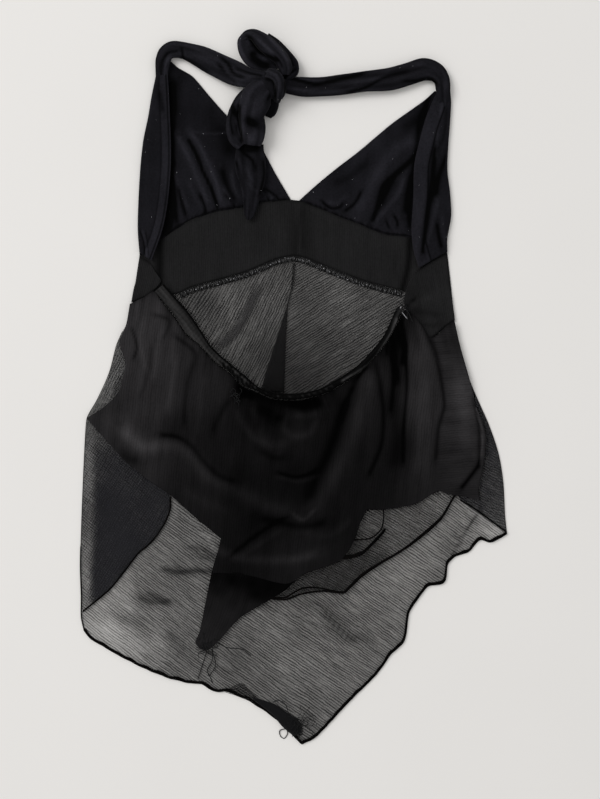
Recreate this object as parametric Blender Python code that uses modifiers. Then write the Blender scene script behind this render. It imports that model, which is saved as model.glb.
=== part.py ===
"""A halter neck top laid flat on its front, back side up.

+Y runs from the hem to the neck, +Z up from the surface it lies on. Every panel is an open cloth
surface, worked out from its seam rails, with a Solidify wall. Ties and bow are folded bands swept
along their own run. Tables are in millimetres, one row a point along a seam or one section.
"""

import math
from collections import namedtuple

import bmesh
import bpy
import numpy as np

MM = 0.001

# ---- driving dimensions, mm
CHIFFON_WALL = 1.0          # one sheer layer
BACK_WALL = 1.2             # the gathered opaque back
JERSEY_WALL = 1.3           # a self-lined cup
BAND_WALL = 1.2
SEAM_GAP = 0.5              # between pieces that are sewn edge to edge
FOLD_RADIUS = 2.3           # of a cup where it turns over the side
FLAP_BASE = 1.4             # underside of the side panels, on the front skirt
OVERLAY_BASE = 2.8          # underside of the back overlay
LINING_BASE = 4.2           # underside of the pointed lining
BACK_BASE = 5.6             # underside of the opaque back
CASING_HEIGHT = 6.0
CASING_BASE = 3.2
SIDE_BAND_BASE = 1.6
RING = 12                   # points round a swept band

Pt = namedtuple("Pt", "x y")
CupRow = namedtuple("CupRow", "side_x side_y turn_x turn_y")
Section = namedtuple("Section", "x y z heading lift width thick")
Fold = namedtuple("Fold", "rise spread run")
ORIGIN = np.array([0.0, 0.25, 0.0])    # of the tables, to the middle of what lies on the surface


def rail(*pairs):
    """A seam or edge as points along it."""
    return [Pt(*p) for p in pairs]


# ---- silhouettes and seams of the skirt
FRONT_LEFT = rail((-174, 90), (-178, 72), (-184, 61), (-191, 45), (-199, 15), (-212, -14),
                  (-223, -34), (-225, -59), (-228, -126), (-230, -191), (-228, -225), (-224, -268))
FRONT_RIGHT = rail((174, 71), (179, 45), (184, 27), (192, 2), (201, -19), (211, -42), (221, -72),
                   (226, -102), (228, -139), (230, -158))
FRONT_HEM = rail((-224, -268), (-209, -279), (-179, -292), (-137, -310), (-103, -319), (-73, -328),
                 (-47, -339), (-20, -357), (9, -385), (23, -378), (62, -337), (89, -310),
                 (105, -288), (119, -274), (124, -244), (132, -231), (145, -215), (165, -210),
                 (164, -191), (175, -182), (188, -178), (201, -165), (214, -167), (230, -158))
BAND_LOW = rail((-174, 90), (-125, 101), (-110, 108), (-53, 124), (-20, 138), (-1, 142), (12, 140),
                (46, 126), (79, 114), (119, 103), (147, 90), (174, 71))
BAND_TOP_LEFT = rail((-166, 143), (-139, 163), (-126, 172), (-107, 182), (-83, 190), (-57, 194),
                     (-36, 199), (-3, 202))
BAND_TOP_RIGHT = rail((6, 201), (26, 194), (49, 184), (68, 177), (83, 171), (101, 165), (126, 162),
                      (166, 145))

# ---- the opaque back, gathered to its elastic
BACK_TOP = rail((-176, 87), (-161, 94), (-149, 101), (-142, 92), (-131, 79), (-116, 57), (-99, 42),
                (-83, 25), (-68, 14), (-57, 2), (-39, -6), (-24, -13), (-4, -15), (11, -14),
                (34, -8), (52, 2), (71, 15), (84, 29), (97, 43), (106, 57), (113, 70), (118, 80),
                (126, 76), (135, 63), (146, 48), (153, 52), (163, 62), (173, 69))
BACK_LEFT = rail((-176, 87), (-180, 67), (-184, 50), (-177, 39), (-172, 26), (-179, 9), (-185, -8),
                 (-199, -21), (-223, -34))
BACK_RIGHT = rail((173, 69), (179, 45), (184, 27), (192, -1), (196, -21), (201, -32), (207, -54),
                  (206, -73), (204, -88), (199, -110), (201, -122))
BACK_HEM = rail((-223, -34), (-209, -49), (-182, -79), (-155, -101), (-132, -117), (-105, -141),
                (-78, -163), (-83, -183), (-87, -200), (-52, -202), (-7, -212), (12, -201),
                (33, -194), (52, -185), (65, -166), (72, -146), (79, -132), (99, -132),
                (131, -126), (150, -115), (158, -112), (165, -115), (188, -119), (201, -122))
CASING_OUT = rail((-149, 102), (-142, 93), (-131, 80), (-116, 58), (-99, 43), (-83, 26), (-68, 15),
                  (-57, 3), (-39, -5), (-24, -12), (-4, -14), (11, -13), (34, -7), (52, 3),
                  (71, 16), (84, 30), (97, 44), (106, 58), (112, 71), (116, 80))
CASING_IN = rail((-140, 110), (-126, 94), (-113, 79), (-99, 58), (-90, 44), (-79, 33), (-57, 15),
                 (-39, 0), (-26, -6), (-8, -8), (11, -7), (30, -2), (50, 9), (69, 22), (80, 33),
                 (93, 48), (101, 61), (109, 79), (113, 86))

# ---- sheer pieces under the back
OVERLAY_HEM = rail((-25, -228), (-8, -229), (9, -223), (32, -220), (54, -222), (61, -216),
                   (75, -203), (96, -189), (113, -179), (128, -169), (147, -154), (160, -141),
                   (171, -122), (179, -110), (194, -95), (203, -86), (207, -54))
OVERLAY_TOP = rail((-70, -60), (0, -60), (80, -30), (150, 0), (187, -2))
OVERLAY_LEFT = rail((-70, -60), (-52, -150), (-25, -228))
OVERLAY_RIGHT = rail((187, -2), (197, -28), (207, -54))
FLAP_LEFT_SIDE = rail((-178, 70), (-184, 59), (-191, 43), (-199, 13), (-212, -16), (-222, -36),
                      (-225, -59), (-228, -126), (-230, -191), (-227, -242))
FLAP_LEFT_INNER = rail((-130, 50), (-140, 0), (-140, -60), (-133, -118))
FLAP_LEFT_HEM = rail((-227, -242), (-212, -230), (-198, -218), (-184, -201), (-172, -185),
                     (-167, -179), (-152, -166), (-139, -147), (-133, -132), (-133, -118))
FLAP_RIGHT_SIDE = rail((179, 43), (184, 25), (192, 1), (201, -20), (211, -43), (221, -73),
                       (226, -102), (228, -139), (230, -157))
FLAP_RIGHT_INNER = rail((148, 30), (150, -20), (162, -80), (180, -122))
FLAP_RIGHT_HEM = rail((180, -122), (195, -131), (210, -142), (222, -151), (230, -157))
LINING_LEFT = rail((-70, -140), (-80, -172), (-88, -199), (-101, -263), (-106, -275))
LINING_RIGHT = rail((40, -150), (18, -190), (-8, -218), (-39, -237), (-58, -249), (-79, -272))
LINING_TIP = rail((-106, -275), (-103, -280), (-94, -284), (-86, -279), (-79, -272))

# ---- side bands, turned to the back
SIDE_LEFT_TOP = rail((-166, 141), (-155, 134))
SIDE_LEFT_LOW = rail((-175, 91), (-161, 97), (-151, 104))
SIDE_LEFT_EDGE = rail((-166, 141), (-167, 125), (-172, 107), (-175, 91))
SIDE_LEFT_INNER = rail((-155, 134), (-149, 124), (-143, 114), (-151, 104))
SIDE_RIGHT_TOP = rail((134, 126), (144, 133), (155, 139), (165, 143))
SIDE_RIGHT_LOW = rail((146, 50), (152, 54), (163, 64), (174, 72))
SIDE_RIGHT_EDGE = rail((165, 143), (166, 129), (167, 114), (171, 95), (174, 72))
SIDE_RIGHT_INNER = rail((134, 126), (125, 114), (121, 103), (119, 90), (126, 78), (136, 65),
                        (146, 50))

# ---- cups: the V edge, and where each section turns at the side and ends on the back
CUP_LEFT_EDGE = rail((-3, 202), (-20, 231), (-34, 257), (-52, 277), (-71, 292), (-90, 313),
                     (-109, 335), (-124, 344), (-132, 351))
CUP_LEFT = [CupRow(-166, 143, -153, 136), CupRow(-168, 171, -141, 170),
            CupRow(-167, 206, -135, 202), CupRow(-165, 239, -132, 239),
            CupRow(-162, 266, -132, 266), CupRow(-157, 290, -133, 290),
            CupRow(-153, 314, -134, 314), CupRow(-149, 333, -135, 331),
            CupRow(-146, 350, -136, 350)]
CUP_RIGHT_EDGE = rail((6, 201), (26, 219), (48, 237), (69, 253), (88, 269), (106, 284),
                      (127, 299), (141, 309), (152, 319))
CUP_RIGHT = [CupRow(166, 145, 135, 128), CupRow(166, 161, 129, 148), CupRow(170, 184, 127, 170),
             CupRow(169, 207, 129, 202), CupRow(166, 234, 130, 239), CupRow(167, 261, 136, 266),
             CupRow(169, 288, 143, 291), CupRow(170, 306, 149, 306), CupRow(169, 320, 155, 319)]

# ---- neck ties and bow: heading and lift are the directions of the band's width
TIE_LEFT = [Section(-140, 353.5, 4.5, 5, 0, 13, 5), Section(-138, 360, 5, -25, 0, 15, 6),
            Section(-130, 364.5, 5, -65, 0, 17, 6), Section(-117, 363, 5, -96, 0, 18, 6),
            Section(-101, 357, 5, -110, 0, 21, 6), Section(-85, 349, 5, -114, 0, 24, 6),
            Section(-66, 340, 5.5, -112, 0, 28, 7), Section(-50, 333, 6, -100, 0, 24, 8),
            Section(-37.5, 330, 6.5, -95, 0, 15, 8)]
TIE_RIGHT = [Section(161, 323, 4.5, 178, 0, 15, 5), Section(160, 332, 5, 205, 0, 16, 6),
             Section(153, 340, 5.5, 240, 0, 20, 6), Section(140, 343, 5.5, 275, 0, 24, 6),
             Section(124, 338, 6, 292, 0, 24, 7), Section(104, 332.5, 6.5, 285, 0, 23, 7),
             Section(77, 330, 7, 275, 0, 22, 8), Section(56, 327, 6.5, 277, 0, 21, 7),
             Section(34, 324.5, 6, 275, 0, 20, 7), Section(12, 324, 6, 268, 0, 19, 7),
             Section(-5, 326, 6, 262, 0, 14, 8)]
LOOP_UP = [Section(-33, 344.5, 13, 209, 46, 14, 2.6), Section(-42, 350, 13.5, 209, 46, 24, 2.6),
           Section(-51, 361, 14, 209, 46, 28, 2.6), Section(-52, 371, 14, 209, 46, 28, 2.6),
           Section(-46, 378, 14, 209, 46, 28, 2.6), Section(-37, 377, 14, 209, 46, 28, 2.6),
           Section(-27, 370, 14, 209, 46, 29, 2.6), Section(-16, 360, 14, 209, 46, 30, 2.6),
           Section(-8, 351, 13.5, 209, 46, 26, 2.6), Section(-10.5, 343.5, 13, 209, 46, 12, 2.6)]
LOOP_DOWN = [Section(-35.5, 316.5, 11, -40, 0, 14, 2.4), Section(-43, 303, 9, -25, 0, 28, 2.4),
             Section(-48, 286, 7.5, -17, 0, 38, 2.4), Section(-51, 270, 7.5, -12, 0, 40, 2.4),
             Section(-51, 263, 9.5, -12, 0, 38, 2.4), Section(-51, 261, 13.5, -12, 0, 36, 2.4),
             Section(-51, 264, 18, -12, 0, 38, 2.4), Section(-49, 272, 21, -14, 0, 40, 2.4),
             Section(-45, 288, 23, -18, 0, 38, 2.4), Section(-39, 305, 22, -28, 0, 30, 2.4),
             Section(-34.5, 317.5, 19, -40, 0, 15, 2.4)]
TAIL = [Section(-47, 258, 7.5, 0, 0, 27, 3), Section(-47, 248, 6.5, 0, 0, 32, 3),
        Section(-46, 234, 6.3, 0, 0, 32, 3), Section(-45, 217, 6.2, 3, 0, 27, 3),
        Section(-47, 198, 6.0, 5, 0, 15, 3), Section(-49, 184, 5.8, 8, 0, 4, 2.4)]
BOW_END = [Section(-17, 306, 11, -25, 0, 8, 5), Section(-20, 299, 9, -25, 0, 12, 6),
           Section(-24, 293, 7.5, -30, 0, 11, 5), Section(-27, 290, 7, -35, 0, 5, 3)]
KNOT = [Section(-29, 343, 14, 30, 0, 8, 10), Section(-27.5, 340, 14, 30, 0, 18, 19),
        Section(-24.5, 334, 14, 28, 0, 25, 24), Section(-20.5, 325, 14, 20, 0, 26, 25),
        Section(-17.5, 316, 13.5, 10, 0, 20, 21), Section(-16, 310, 13, 5, 0, 8, 10)]

# ---- the folds that the opaque back lies in
BACK_FOLDS = [Fold(3.6, 11, rail((-186, -42), (-143, -69), (-103, -76), (-80, -94), (-53, -114),
                                 (-10, -128))),
              Fold(3.4, 9, rail((56, -42), (46, -86), (30, -112), (12, -138))),
              Fold(2.6, 9, rail((-98, 12), (-108, -20), (-114, -52))),
              Fold(2.4, 8, rail((-60, -20), (-76, -45), (-90, -70))),
              Fold(3.0, 8, rail((104, 20), (106, -30), (104, -78))),
              Fold(3.0, 8, rail((134, 25), (136, -20), (130, -80))),
              Fold(2.4, 9, rail((165, 20), (178, -30), (180, -80))),
              Fold(2.0, 10, rail((-60, -168), (-20, -150), (30, -160)))]
CUP_LEFT_FOLDS = [Fold(1.6, 6, rail((-120, 182), (-118, 225), (-122, 280))),
                  Fold(1.8, 6, rail((-95, 192), (-92, 230), (-100, 285))),
                  Fold(1.6, 6, rail((-66, 200), (-70, 232), (-84, 270)))]
CUP_RIGHT_FOLDS = [Fold(1.6, 6, rail((40, 198), (52, 214), (72, 232))),
                   Fold(1.8, 6, rail((66, 186), (80, 214), (96, 244))),
                   Fold(1.6, 6, rail((92, 176), (104, 208), (112, 256)))]
FLAT = []


def curve_of(points, count):
    """count + 1 points at even steps along a smooth line through points."""
    known = np.array(points, float)
    if len(known) == 2:
        dense = known
    else:
        ends = np.vstack([2 * known[0] - known[1], known, 2 * known[-1] - known[-2]])
        steps = np.linspace(0, 1, 9)[:-1, None]
        runs = []
        for a, b, c, d in zip(ends[:-3], ends[1:-2], ends[2:-1], ends[3:]):
            slack = min(1.0, np.linalg.norm(c - b) / max(np.linalg.norm(b - a), 1e-6),
                        np.linalg.norm(c - b) / max(np.linalg.norm(d - c), 1e-6))
            out, into = (c - a) / 2 * slack, (d - b) / 2 * slack
            runs.append(b * (2 * steps ** 3 - 3 * steps ** 2 + 1) + c * (3 * steps ** 2 - 2 * steps ** 3)
                        + out * (steps ** 3 - 2 * steps ** 2 + steps) + into * (steps ** 3 - steps ** 2))
        dense = np.vstack(runs + [known[-1:]])
    gone = np.concatenate([[0], np.cumsum(np.linalg.norm(np.diff(dense, axis=0), axis=1))])
    at = np.linspace(0, gone[-1], count + 1)
    return np.stack([np.interp(at, gone, dense[:, i]) for i in range(dense.shape[1])], axis=1)


def patch(top, low, left, right):
    """The net of points between four edges that meet at their ends: rows run from top to low."""
    rows, cols = len(left), len(top)
    u = np.linspace(0, 1, cols)[None, :, None]
    v = np.linspace(0, 1, rows)[:, None, None]
    across = (1 - v) * top[None] + v * low[None]
    down = (1 - u) * left[:, None] + u * right[:, None]
    corners = ((1 - u) * (1 - v) * top[0] + u * (1 - v) * top[-1]
               + (1 - u) * v * low[0] + u * v * low[-1])
    return across + down - corners


def inset(net, gap):
    """The net drawn in by gap along its whole outline, so that it stays clear of its neighbours."""
    middle = net.copy()
    steps = [(middle[0], middle[1]), (middle[-1], middle[-2]),
             (middle[:, 0], middle[:, 1]), (middle[:, -1], middle[:, -2])]
    for edge, inner in steps:
        way = inner - edge
        size = np.maximum(np.linalg.norm(way, axis=-1, keepdims=True), 1e-6)
        edge += way / size * np.minimum(gap, size * 0.4)
    return middle


def relief(xy, folds):
    """How far the folds lift the cloth at each point of a net."""
    lift = np.zeros(xy.shape[:-1])
    for fold in folds:
        line = curve_of(fold.run, 24)
        reach = np.linalg.norm(xy[..., None, :] - line, axis=-1).min(axis=-1)
        lift += fold.rise * np.exp(-(reach / fold.spread) ** 2)
    return lift


def quiet_edges(net_shape, cells):
    """A weight for each point of a net: nothing at the outline, one beyond that many cells."""
    rows, cols = net_shape
    v = np.minimum(np.arange(rows), np.arange(rows)[::-1])[:, None]
    u = np.minimum(np.arange(cols), np.arange(cols)[::-1])[None]
    return np.clip(np.minimum(u, v) / cells, 0, 1)


def finish(name, mesh, colour, roughness, smooth):
    """The named object of the garment with its own finish."""
    mesh.polygons.foreach_set("use_smooth", [smooth] * len(mesh.polygons))
    thing = bpy.data.objects.new(name, mesh)
    finish_of = bpy.data.materials.new(name + "_finish")
    finish_of.use_nodes = True
    surface = finish_of.node_tree.nodes["Principled BSDF"]
    surface.inputs["Base Color"].default_value = (*colour, 1)
    surface.inputs["Roughness"].default_value = roughness
    mesh.materials.append(finish_of)
    GARMENT.objects.link(thing)
    return thing


def cloth(name, net, wall, colour):
    """A cloth surface of wall thickness over a net of points (rows, columns, xyz), wall to its left side."""
    build = bmesh.new()
    rows, cols = net.shape[:2]
    corners = [[build.verts.new((net[r, c] - ORIGIN) * MM) for c in range(cols)] for r in range(rows)]
    for r in range(rows - 1):
        for c in range(cols - 1):
            build.faces.new((corners[r][c], corners[r + 1][c], corners[r + 1][c + 1], corners[r][c + 1]))
    mesh = bpy.data.meshes.new(name)
    build.to_mesh(mesh)
    build.free()
    thing = finish(name, mesh, colour, 0.8, True)
    shell = thing.modifiers.new("wall", "SOLIDIFY")
    shell.thickness = wall * MM
    shell.offset = 1
    return thing


def joined(points, *runs):
    """A rail in runs, each of (number of the point it ends on, steps), so that its corners are met."""
    start, pieces = 0, [np.array(points[:1], float)]
    for corner, steps in runs:
        pieces.append(curve_of(points[start:corner + 1], steps)[1:])
        start = corner
    return np.vstack(pieces)


def panel(name, edges, rows, cols, base, wall, folds, colour):
    """A panel that lies flat at base with its folds, between four seam rails."""
    top, low = [e if isinstance(e, np.ndarray) else curve_of(e, cols) for e in edges[:2]]
    left, right = [curve_of(e, rows) for e in edges[2:]]
    net = patch(top, low, left, right)
    net = inset(net, SEAM_GAP)
    lift = relief(net, folds) * quiet_edges(net.shape[:2], 2)
    return cloth(name, np.dstack([net, base + lift]), wall, colour)


def cup(name, edge, seam, sections, folds, side):
    """A cup whose outer part turns over the side and lies on the back. side is -1 left, 1 right."""
    rows, front_cols, turn_steps, back_cols = 11, 9, 4, 3
    table = curve_of([tuple(s) for s in sections], rows)
    sides, turns = table[:, :2], table[:, 2:]
    edge_points = curve_of(edge, rows)
    low = curve_of(seam, front_cols)
    low = low if side > 0 else low[::-1]
    top = curve_of([tuple(edge_points[-1]), tuple(sides[-1])], front_cols)
    inner = sides - np.array([side * FOLD_RADIUS, 0])
    low = low + (inner[0] - sides[0]) * np.linspace(0, 1, front_cols + 1)[:, None]
    top = top + (inner[-1] - sides[-1]) * np.linspace(0, 1, front_cols + 1)[:, None]
    known = curve_of(seam, 40)
    order = np.argsort(known[:, 0])
    low[:, 1] = np.interp(low[:, 0], known[order, 0], known[order, 1]) + 2 * SEAM_GAP
    flat = patch(low, top, edge_points, inner)
    flat[0] = low
    lift = relief(flat, folds) * quiet_edges(flat.shape[:2], 2)
    front = np.dstack([flat, lift])
    bends = []
    for step in range(1, turn_steps):
        angle = math.pi * step / turn_steps
        out = inner + np.array([side * FOLD_RADIUS * math.sin(angle), 0])
        height = np.full((len(out), 1), FOLD_RADIUS * (1 - math.cos(angle)))
        bends.append(np.hstack([out, height]))
    for step in range(back_cols + 1):
        place = inner + (turns - inner) * step / back_cols
        bends.append(np.hstack([place, np.full((len(place), 1), 2 * FOLD_RADIUS)]))
    back = np.stack(bends, axis=1)
    back[0, :, 1] += 2 * SEAM_GAP
    net = np.concatenate([front, back], axis=1)
    net = net[::-1] if side > 0 else net
    return cloth(name, net, JERSEY_WALL, (0.012, 0.012, 0.016))


def band_run(name, sections, steps, colour):
    """A folded band swept along its sections as one closed body."""
    table = curve_of([tuple(s) for s in sections], steps)
    build = bmesh.new()
    rings = []
    for i, row in enumerate(table):
        place, width, thick = row[:3], row[5], row[6]
        heading, lift = np.radians(row[3:5])
        run = table[min(i + 1, steps), :3] - table[max(i - 1, 0), :3]
        flat = math.cos(lift)
        wide = np.array([math.cos(heading) * flat, math.sin(heading) * flat, math.sin(lift)])
        run = run / np.linalg.norm(run)
        wide = wide - run * wide.dot(run)
        wide = wide / np.linalg.norm(wide)
        deep = np.cross(run, wide)
        ring = []
        for k in range(RING):
            angle = 2 * math.pi * k / RING
            flatten = abs(math.sin(angle)) ** 0.6 * (1 if math.sin(angle) > 0 else -1)
            ring.append(build.verts.new((place - ORIGIN + wide * math.cos(angle) * width / 2
                                         + deep * flatten * thick / 2) * MM))
        rings.append(ring)
    for near, far in zip(rings, rings[1:]):
        for k in range(RING):
            build.faces.new((near[k], near[(k + 1) % RING], far[(k + 1) % RING], far[k]))
    build.faces.new(rings[0][::-1])
    build.faces.new(rings[-1])
    bmesh.ops.recalc_face_normals(build, faces=build.faces)
    mesh = bpy.data.meshes.new(name)
    build.to_mesh(mesh)
    build.free()
    return finish(name, mesh, colour, 0.85, True)


def casing_run():
    """The ruched elastic channel between its two edges, oval in section."""
    steps = 30
    outer, inner = curve_of(CASING_OUT, steps), curve_of(CASING_IN, steps)
    middle = (outer + inner) / 2
    sections = []
    for place, out, into in zip(middle, outer, inner):
        way = into - out
        sections.append(Section(place[0], place[1], CASING_BASE + CASING_HEIGHT / 2,
                                math.degrees(math.atan2(way[1], way[0])), 0,
                                max(np.linalg.norm(way) - 2 * SEAM_GAP, 3.0), CASING_HEIGHT))
    headings = np.unwrap(np.radians([s.heading for s in sections]))
    turned = [s._replace(heading=math.degrees(h)) for s, h in zip(sections, headings)]
    return band_run("elastic_casing", turned, steps, (0.02, 0.02, 0.022))


for old in list(bpy.data.objects):
    bpy.data.objects.remove(old, do_unlink=True)
GARMENT = bpy.data.collections.new("halter_top")
bpy.context.scene.collection.children.link(GARMENT)

SHEER = (0.03, 0.03, 0.033)
OPAQUE = (0.008, 0.008, 0.01)
CREPE = (0.014, 0.014, 0.016)
JERSEY = (0.012, 0.012, 0.016)

panel("front_skirt", (BAND_LOW, joined(FRONT_HEM, (8, 11), (23, 13)), FRONT_LEFT, FRONT_RIGHT), 15, 24,
      0, CHIFFON_WALL, FLAT, SHEER)
panel("front_band", (BAND_TOP_LEFT + BAND_TOP_RIGHT, BAND_LOW, rail((-166, 143), (-174, 90)),
                     rail((166, 145), (174, 71))), 3, 24, 0, BAND_WALL, FLAT, CREPE)
cup("cup_left", CUP_LEFT_EDGE, BAND_TOP_LEFT, CUP_LEFT, CUP_LEFT_FOLDS, -1)
cup("cup_right", CUP_RIGHT_EDGE, BAND_TOP_RIGHT, CUP_RIGHT, CUP_RIGHT_FOLDS, 1)
panel("side_band_left", (SIDE_LEFT_TOP, SIDE_LEFT_LOW, SIDE_LEFT_EDGE, SIDE_LEFT_INNER), 4, 3,
      SIDE_BAND_BASE, BAND_WALL, FLAT, CREPE)
panel("side_band_right", (SIDE_RIGHT_TOP, SIDE_RIGHT_LOW, SIDE_RIGHT_INNER, SIDE_RIGHT_EDGE), 7, 5,
      SIDE_BAND_BASE, BAND_WALL, FLAT, CREPE)
panel("side_flap_left", (rail((-178, 70), (-130, 50)), FLAP_LEFT_HEM, FLAP_LEFT_SIDE, FLAP_LEFT_INNER),
      12, 7, FLAP_BASE, CHIFFON_WALL, FLAT, SHEER)
panel("side_flap_right", (rail((148, 30), (179, 43)), FLAP_RIGHT_HEM, FLAP_RIGHT_INNER, FLAP_RIGHT_SIDE),
      10, 5, FLAP_BASE, CHIFFON_WALL, FLAT, SHEER)
panel("back_overlay", (OVERLAY_TOP, OVERLAY_HEM, OVERLAY_LEFT, OVERLAY_RIGHT), 6, 16, OVERLAY_BASE,
      CHIFFON_WALL, FLAT, SHEER)
panel("lining_point", (rail((-70, -140), (40, -150)), LINING_TIP, LINING_LEFT, LINING_RIGHT), 9, 6,
      LINING_BASE, CHIFFON_WALL, FLAT, OPAQUE)
panel("back_skirt", (joined(BACK_TOP, (11, 14), (14, 11), (27, 12)),
                     joined(BACK_HEM, (6, 14), (8, 2), (16, 9), (23, 12)), BACK_LEFT, BACK_RIGHT),
      12, 37, BACK_BASE, BACK_WALL, BACK_FOLDS, OPAQUE)
casing_run()
band_run("neck_tie_left", TIE_LEFT, 14, JERSEY)
band_run("neck_tie_right", TIE_RIGHT, 16, JERSEY)
band_run("bow_loop_upper", LOOP_UP, 14, JERSEY)
band_run("bow_loop_lower", LOOP_DOWN, 14, JERSEY)
band_run("bow_tail", TAIL, 8, JERSEY)
band_run("bow_end_short", BOW_END, 4, JERSEY)
band_run("bow_knot", KNOT, 8, JERSEY)
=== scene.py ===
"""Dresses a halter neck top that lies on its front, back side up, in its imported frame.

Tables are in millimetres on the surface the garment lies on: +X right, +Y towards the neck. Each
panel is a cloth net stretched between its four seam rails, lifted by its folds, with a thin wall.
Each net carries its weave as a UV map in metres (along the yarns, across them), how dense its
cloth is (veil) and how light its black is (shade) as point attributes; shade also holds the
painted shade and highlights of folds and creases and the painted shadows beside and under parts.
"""

from __future__ import annotations

import logging
import math
from dataclasses import dataclass
from enum import Enum
from typing import Sequence

import bmesh
import bpy
import numpy as np
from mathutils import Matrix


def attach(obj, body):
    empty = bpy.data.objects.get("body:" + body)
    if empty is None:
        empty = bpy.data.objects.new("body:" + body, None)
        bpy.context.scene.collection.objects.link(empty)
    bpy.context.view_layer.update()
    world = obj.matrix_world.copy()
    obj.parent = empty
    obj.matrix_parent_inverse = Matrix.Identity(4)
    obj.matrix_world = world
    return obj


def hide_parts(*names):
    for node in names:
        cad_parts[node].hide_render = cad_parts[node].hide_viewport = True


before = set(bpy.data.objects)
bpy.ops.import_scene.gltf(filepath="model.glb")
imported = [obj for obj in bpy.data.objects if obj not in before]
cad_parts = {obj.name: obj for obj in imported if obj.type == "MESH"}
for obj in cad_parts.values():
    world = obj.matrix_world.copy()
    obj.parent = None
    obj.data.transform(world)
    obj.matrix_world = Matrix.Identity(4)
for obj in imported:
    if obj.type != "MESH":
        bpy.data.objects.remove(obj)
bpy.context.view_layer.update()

LOG = logging.getLogger("halter_top")
MM = 0.001
FOOTPRINT_SHIFT = np.array([0.0, 0.25, 0.0])   # tables to the frame, mm
VIEW_MIDDLE = (7.0, -13.8)                     # what the camera stands over, mm
VIEW_SPAN = 863.0                              # height of what it takes in on the surface, mm
CAMERA_HEIGHT = 1300.0                         # mm
DARKEST, LIGHTEST = 0.04, 4.0                  # how far a fold's painted shade and highlight may darken or lighten its cloth
MARK_CORE = 6.0                                # mm about a mark in which its value hardly fades
MARK_FADE = -3.5                               # the power with which it fades farther off
RIPPLE_WAVES = 14
RIPPLE_LENGTHS = (14, 80)                      # mm
EVEN_STEP = 9                                  # points a smooth line is worked out at between two marks

Table = Sequence[Sequence[float]]


class Side(Enum):
    """Which side of the garment a piece is on, as seen from above."""

    LEFT = -1
    RIGHT = 1


class Held(Enum):
    """How a sheet lies."""

    LAID = "laid"
    FOLDED = "folded"
    GATHERED = "gathered"


# ------------------------------------------------------------------------------ seams and edges, mm
FRONT_LEFT = ((-174, 90), (-178, 72), (-184, 61), (-191, 45), (-199, 15), (-212, -14), (-223, -34),
              (-225, -59), (-228, -126), (-230, -191), (-229, -225), (-229, -248), (-226, -262))
FRONT_RIGHT = ((174, 71), (179, 45), (184, 27), (192, 2), (201, -19), (211, -42), (221, -72),
               (226, -102), (228, -139), (230, -158))
FRONT_HEM = (
    (-226, -262), (-219, -271), (-208, -278), (-185, -291), (-159, -304), (-136, -313), (-113, -319),
    (-100, -320), (-90, -326), (-81, -328.5), (-72, -328), (-47, -339), (-20, -357), (9, -385), (23, -378),
    (62, -337), (89, -310), (105, -288), (119, -274), (124, -244), (132, -231), (145, -215), (162, -211),
    (166, -191), (175, -182), (188, -178), (201, -165), (214, -167), (230, -158))
BAND_LOW = ((-174, 90), (-125, 101), (-110, 108), (-53, 124), (-20, 138), (-1, 142), (12, 140),
            (46, 126), (79, 114), (119, 103), (147, 90), (174, 71))
BAND_TOP_LEFT = ((-166, 143), (-139, 163), (-126, 172), (-107, 182), (-83, 190), (-57, 194),
                 (-36, 199), (-3, 202))
BAND_TOP_RIGHT = ((6, 201), (26, 194), (49, 184), (68, 177), (83, 171), (101, 165), (126, 162),
                  (166, 145))
BACK_TOP = ((-176, 87), (-161, 94), (-149, 101), (-142, 92), (-131, 79), (-116, 57), (-99, 42),
            (-83, 25), (-68, 14), (-57, 2), (-39, -6), (-24, -13), (-4, -15), (11, -14), (34, -8),
            (52, 2), (71, 15), (84, 29), (97, 43), (106, 57), (113, 70), (119, 83), (128, 78),
            (138, 65), (147, 51), (153, 52), (163, 62), (173, 69))
BACK_LEFT = ((-176, 87), (-180, 67), (-187, 50), (-185, 39), (-181, 26), (-184, 9), (-190, -8),
             (-203, -21), (-223, -34))
BACK_RIGHT = ((173, 69), (179, 45), (184, 27), (192, -1), (196, -21), (201, -32), (207, -54),
              (206, -73), (204, -88), (199, -110), (201, -122))
BACK_HEM = ((-223, -34), (-209, -49), (-182, -79), (-155, -101), (-132, -117), (-105, -141),
            (-78, -163), (-83, -183), (-87, -200), (-52, -202), (-7, -212), (12, -201), (33, -194),
            (52, -185), (65, -166), (72, -146), (79, -132), (99, -132), (131, -126), (150, -115),
            (158, -112), (165, -115), (188, -119), (201, -122))
CASING_OUT = ((-149, 102), (-142, 93), (-131, 80), (-116, 58), (-99, 43), (-83, 26), (-68, 15),
              (-57, 3), (-39, -5), (-24, -12), (-4, -14), (11, -13), (34, -7), (52, 3), (71, 16),
              (84, 30), (97, 44), (106, 58), (112, 71), (116, 80))
CASING_IN = ((-140, 110), (-126, 94), (-113, 79), (-99, 58), (-90, 44), (-79, 33), (-57, 15),
             (-39, 0), (-26, -6), (-8, -8), (11, -7), (30, -2), (50, 9), (69, 22), (80, 33),
             (93, 48), (101, 61), (109, 79), (113, 86))
OVERLAY_HEM = ((-25, -228), (-8, -229), (9, -223), (32, -220), (54, -222), (61, -216), (75, -203),
               (96, -189), (113, -179), (128, -169), (147, -154), (160, -141), (171, -122),
               (179, -110), (194, -95), (203, -86), (207, -54))
OVERLAY_TOP = ((-70, -60), (0, -60), (80, -30), (150, 0), (187, -2))
OVERLAY_LEFT = ((-70, -60), (-52, -150), (-25, -228))
OVERLAY_RIGHT = ((187, -2), (197, -28), (207, -54))
UPPER_HEM = ((97, -132), (97, -144), (94, -154), (83, -163), (61, -165))
MIDDLE_HEM = ((98, -155), (93, -161), (75, -179), (61, -184), (44, -185), (33, -189))
FLAP_LEFT_TOP = ((-178, 70), (-130, 50))
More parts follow.
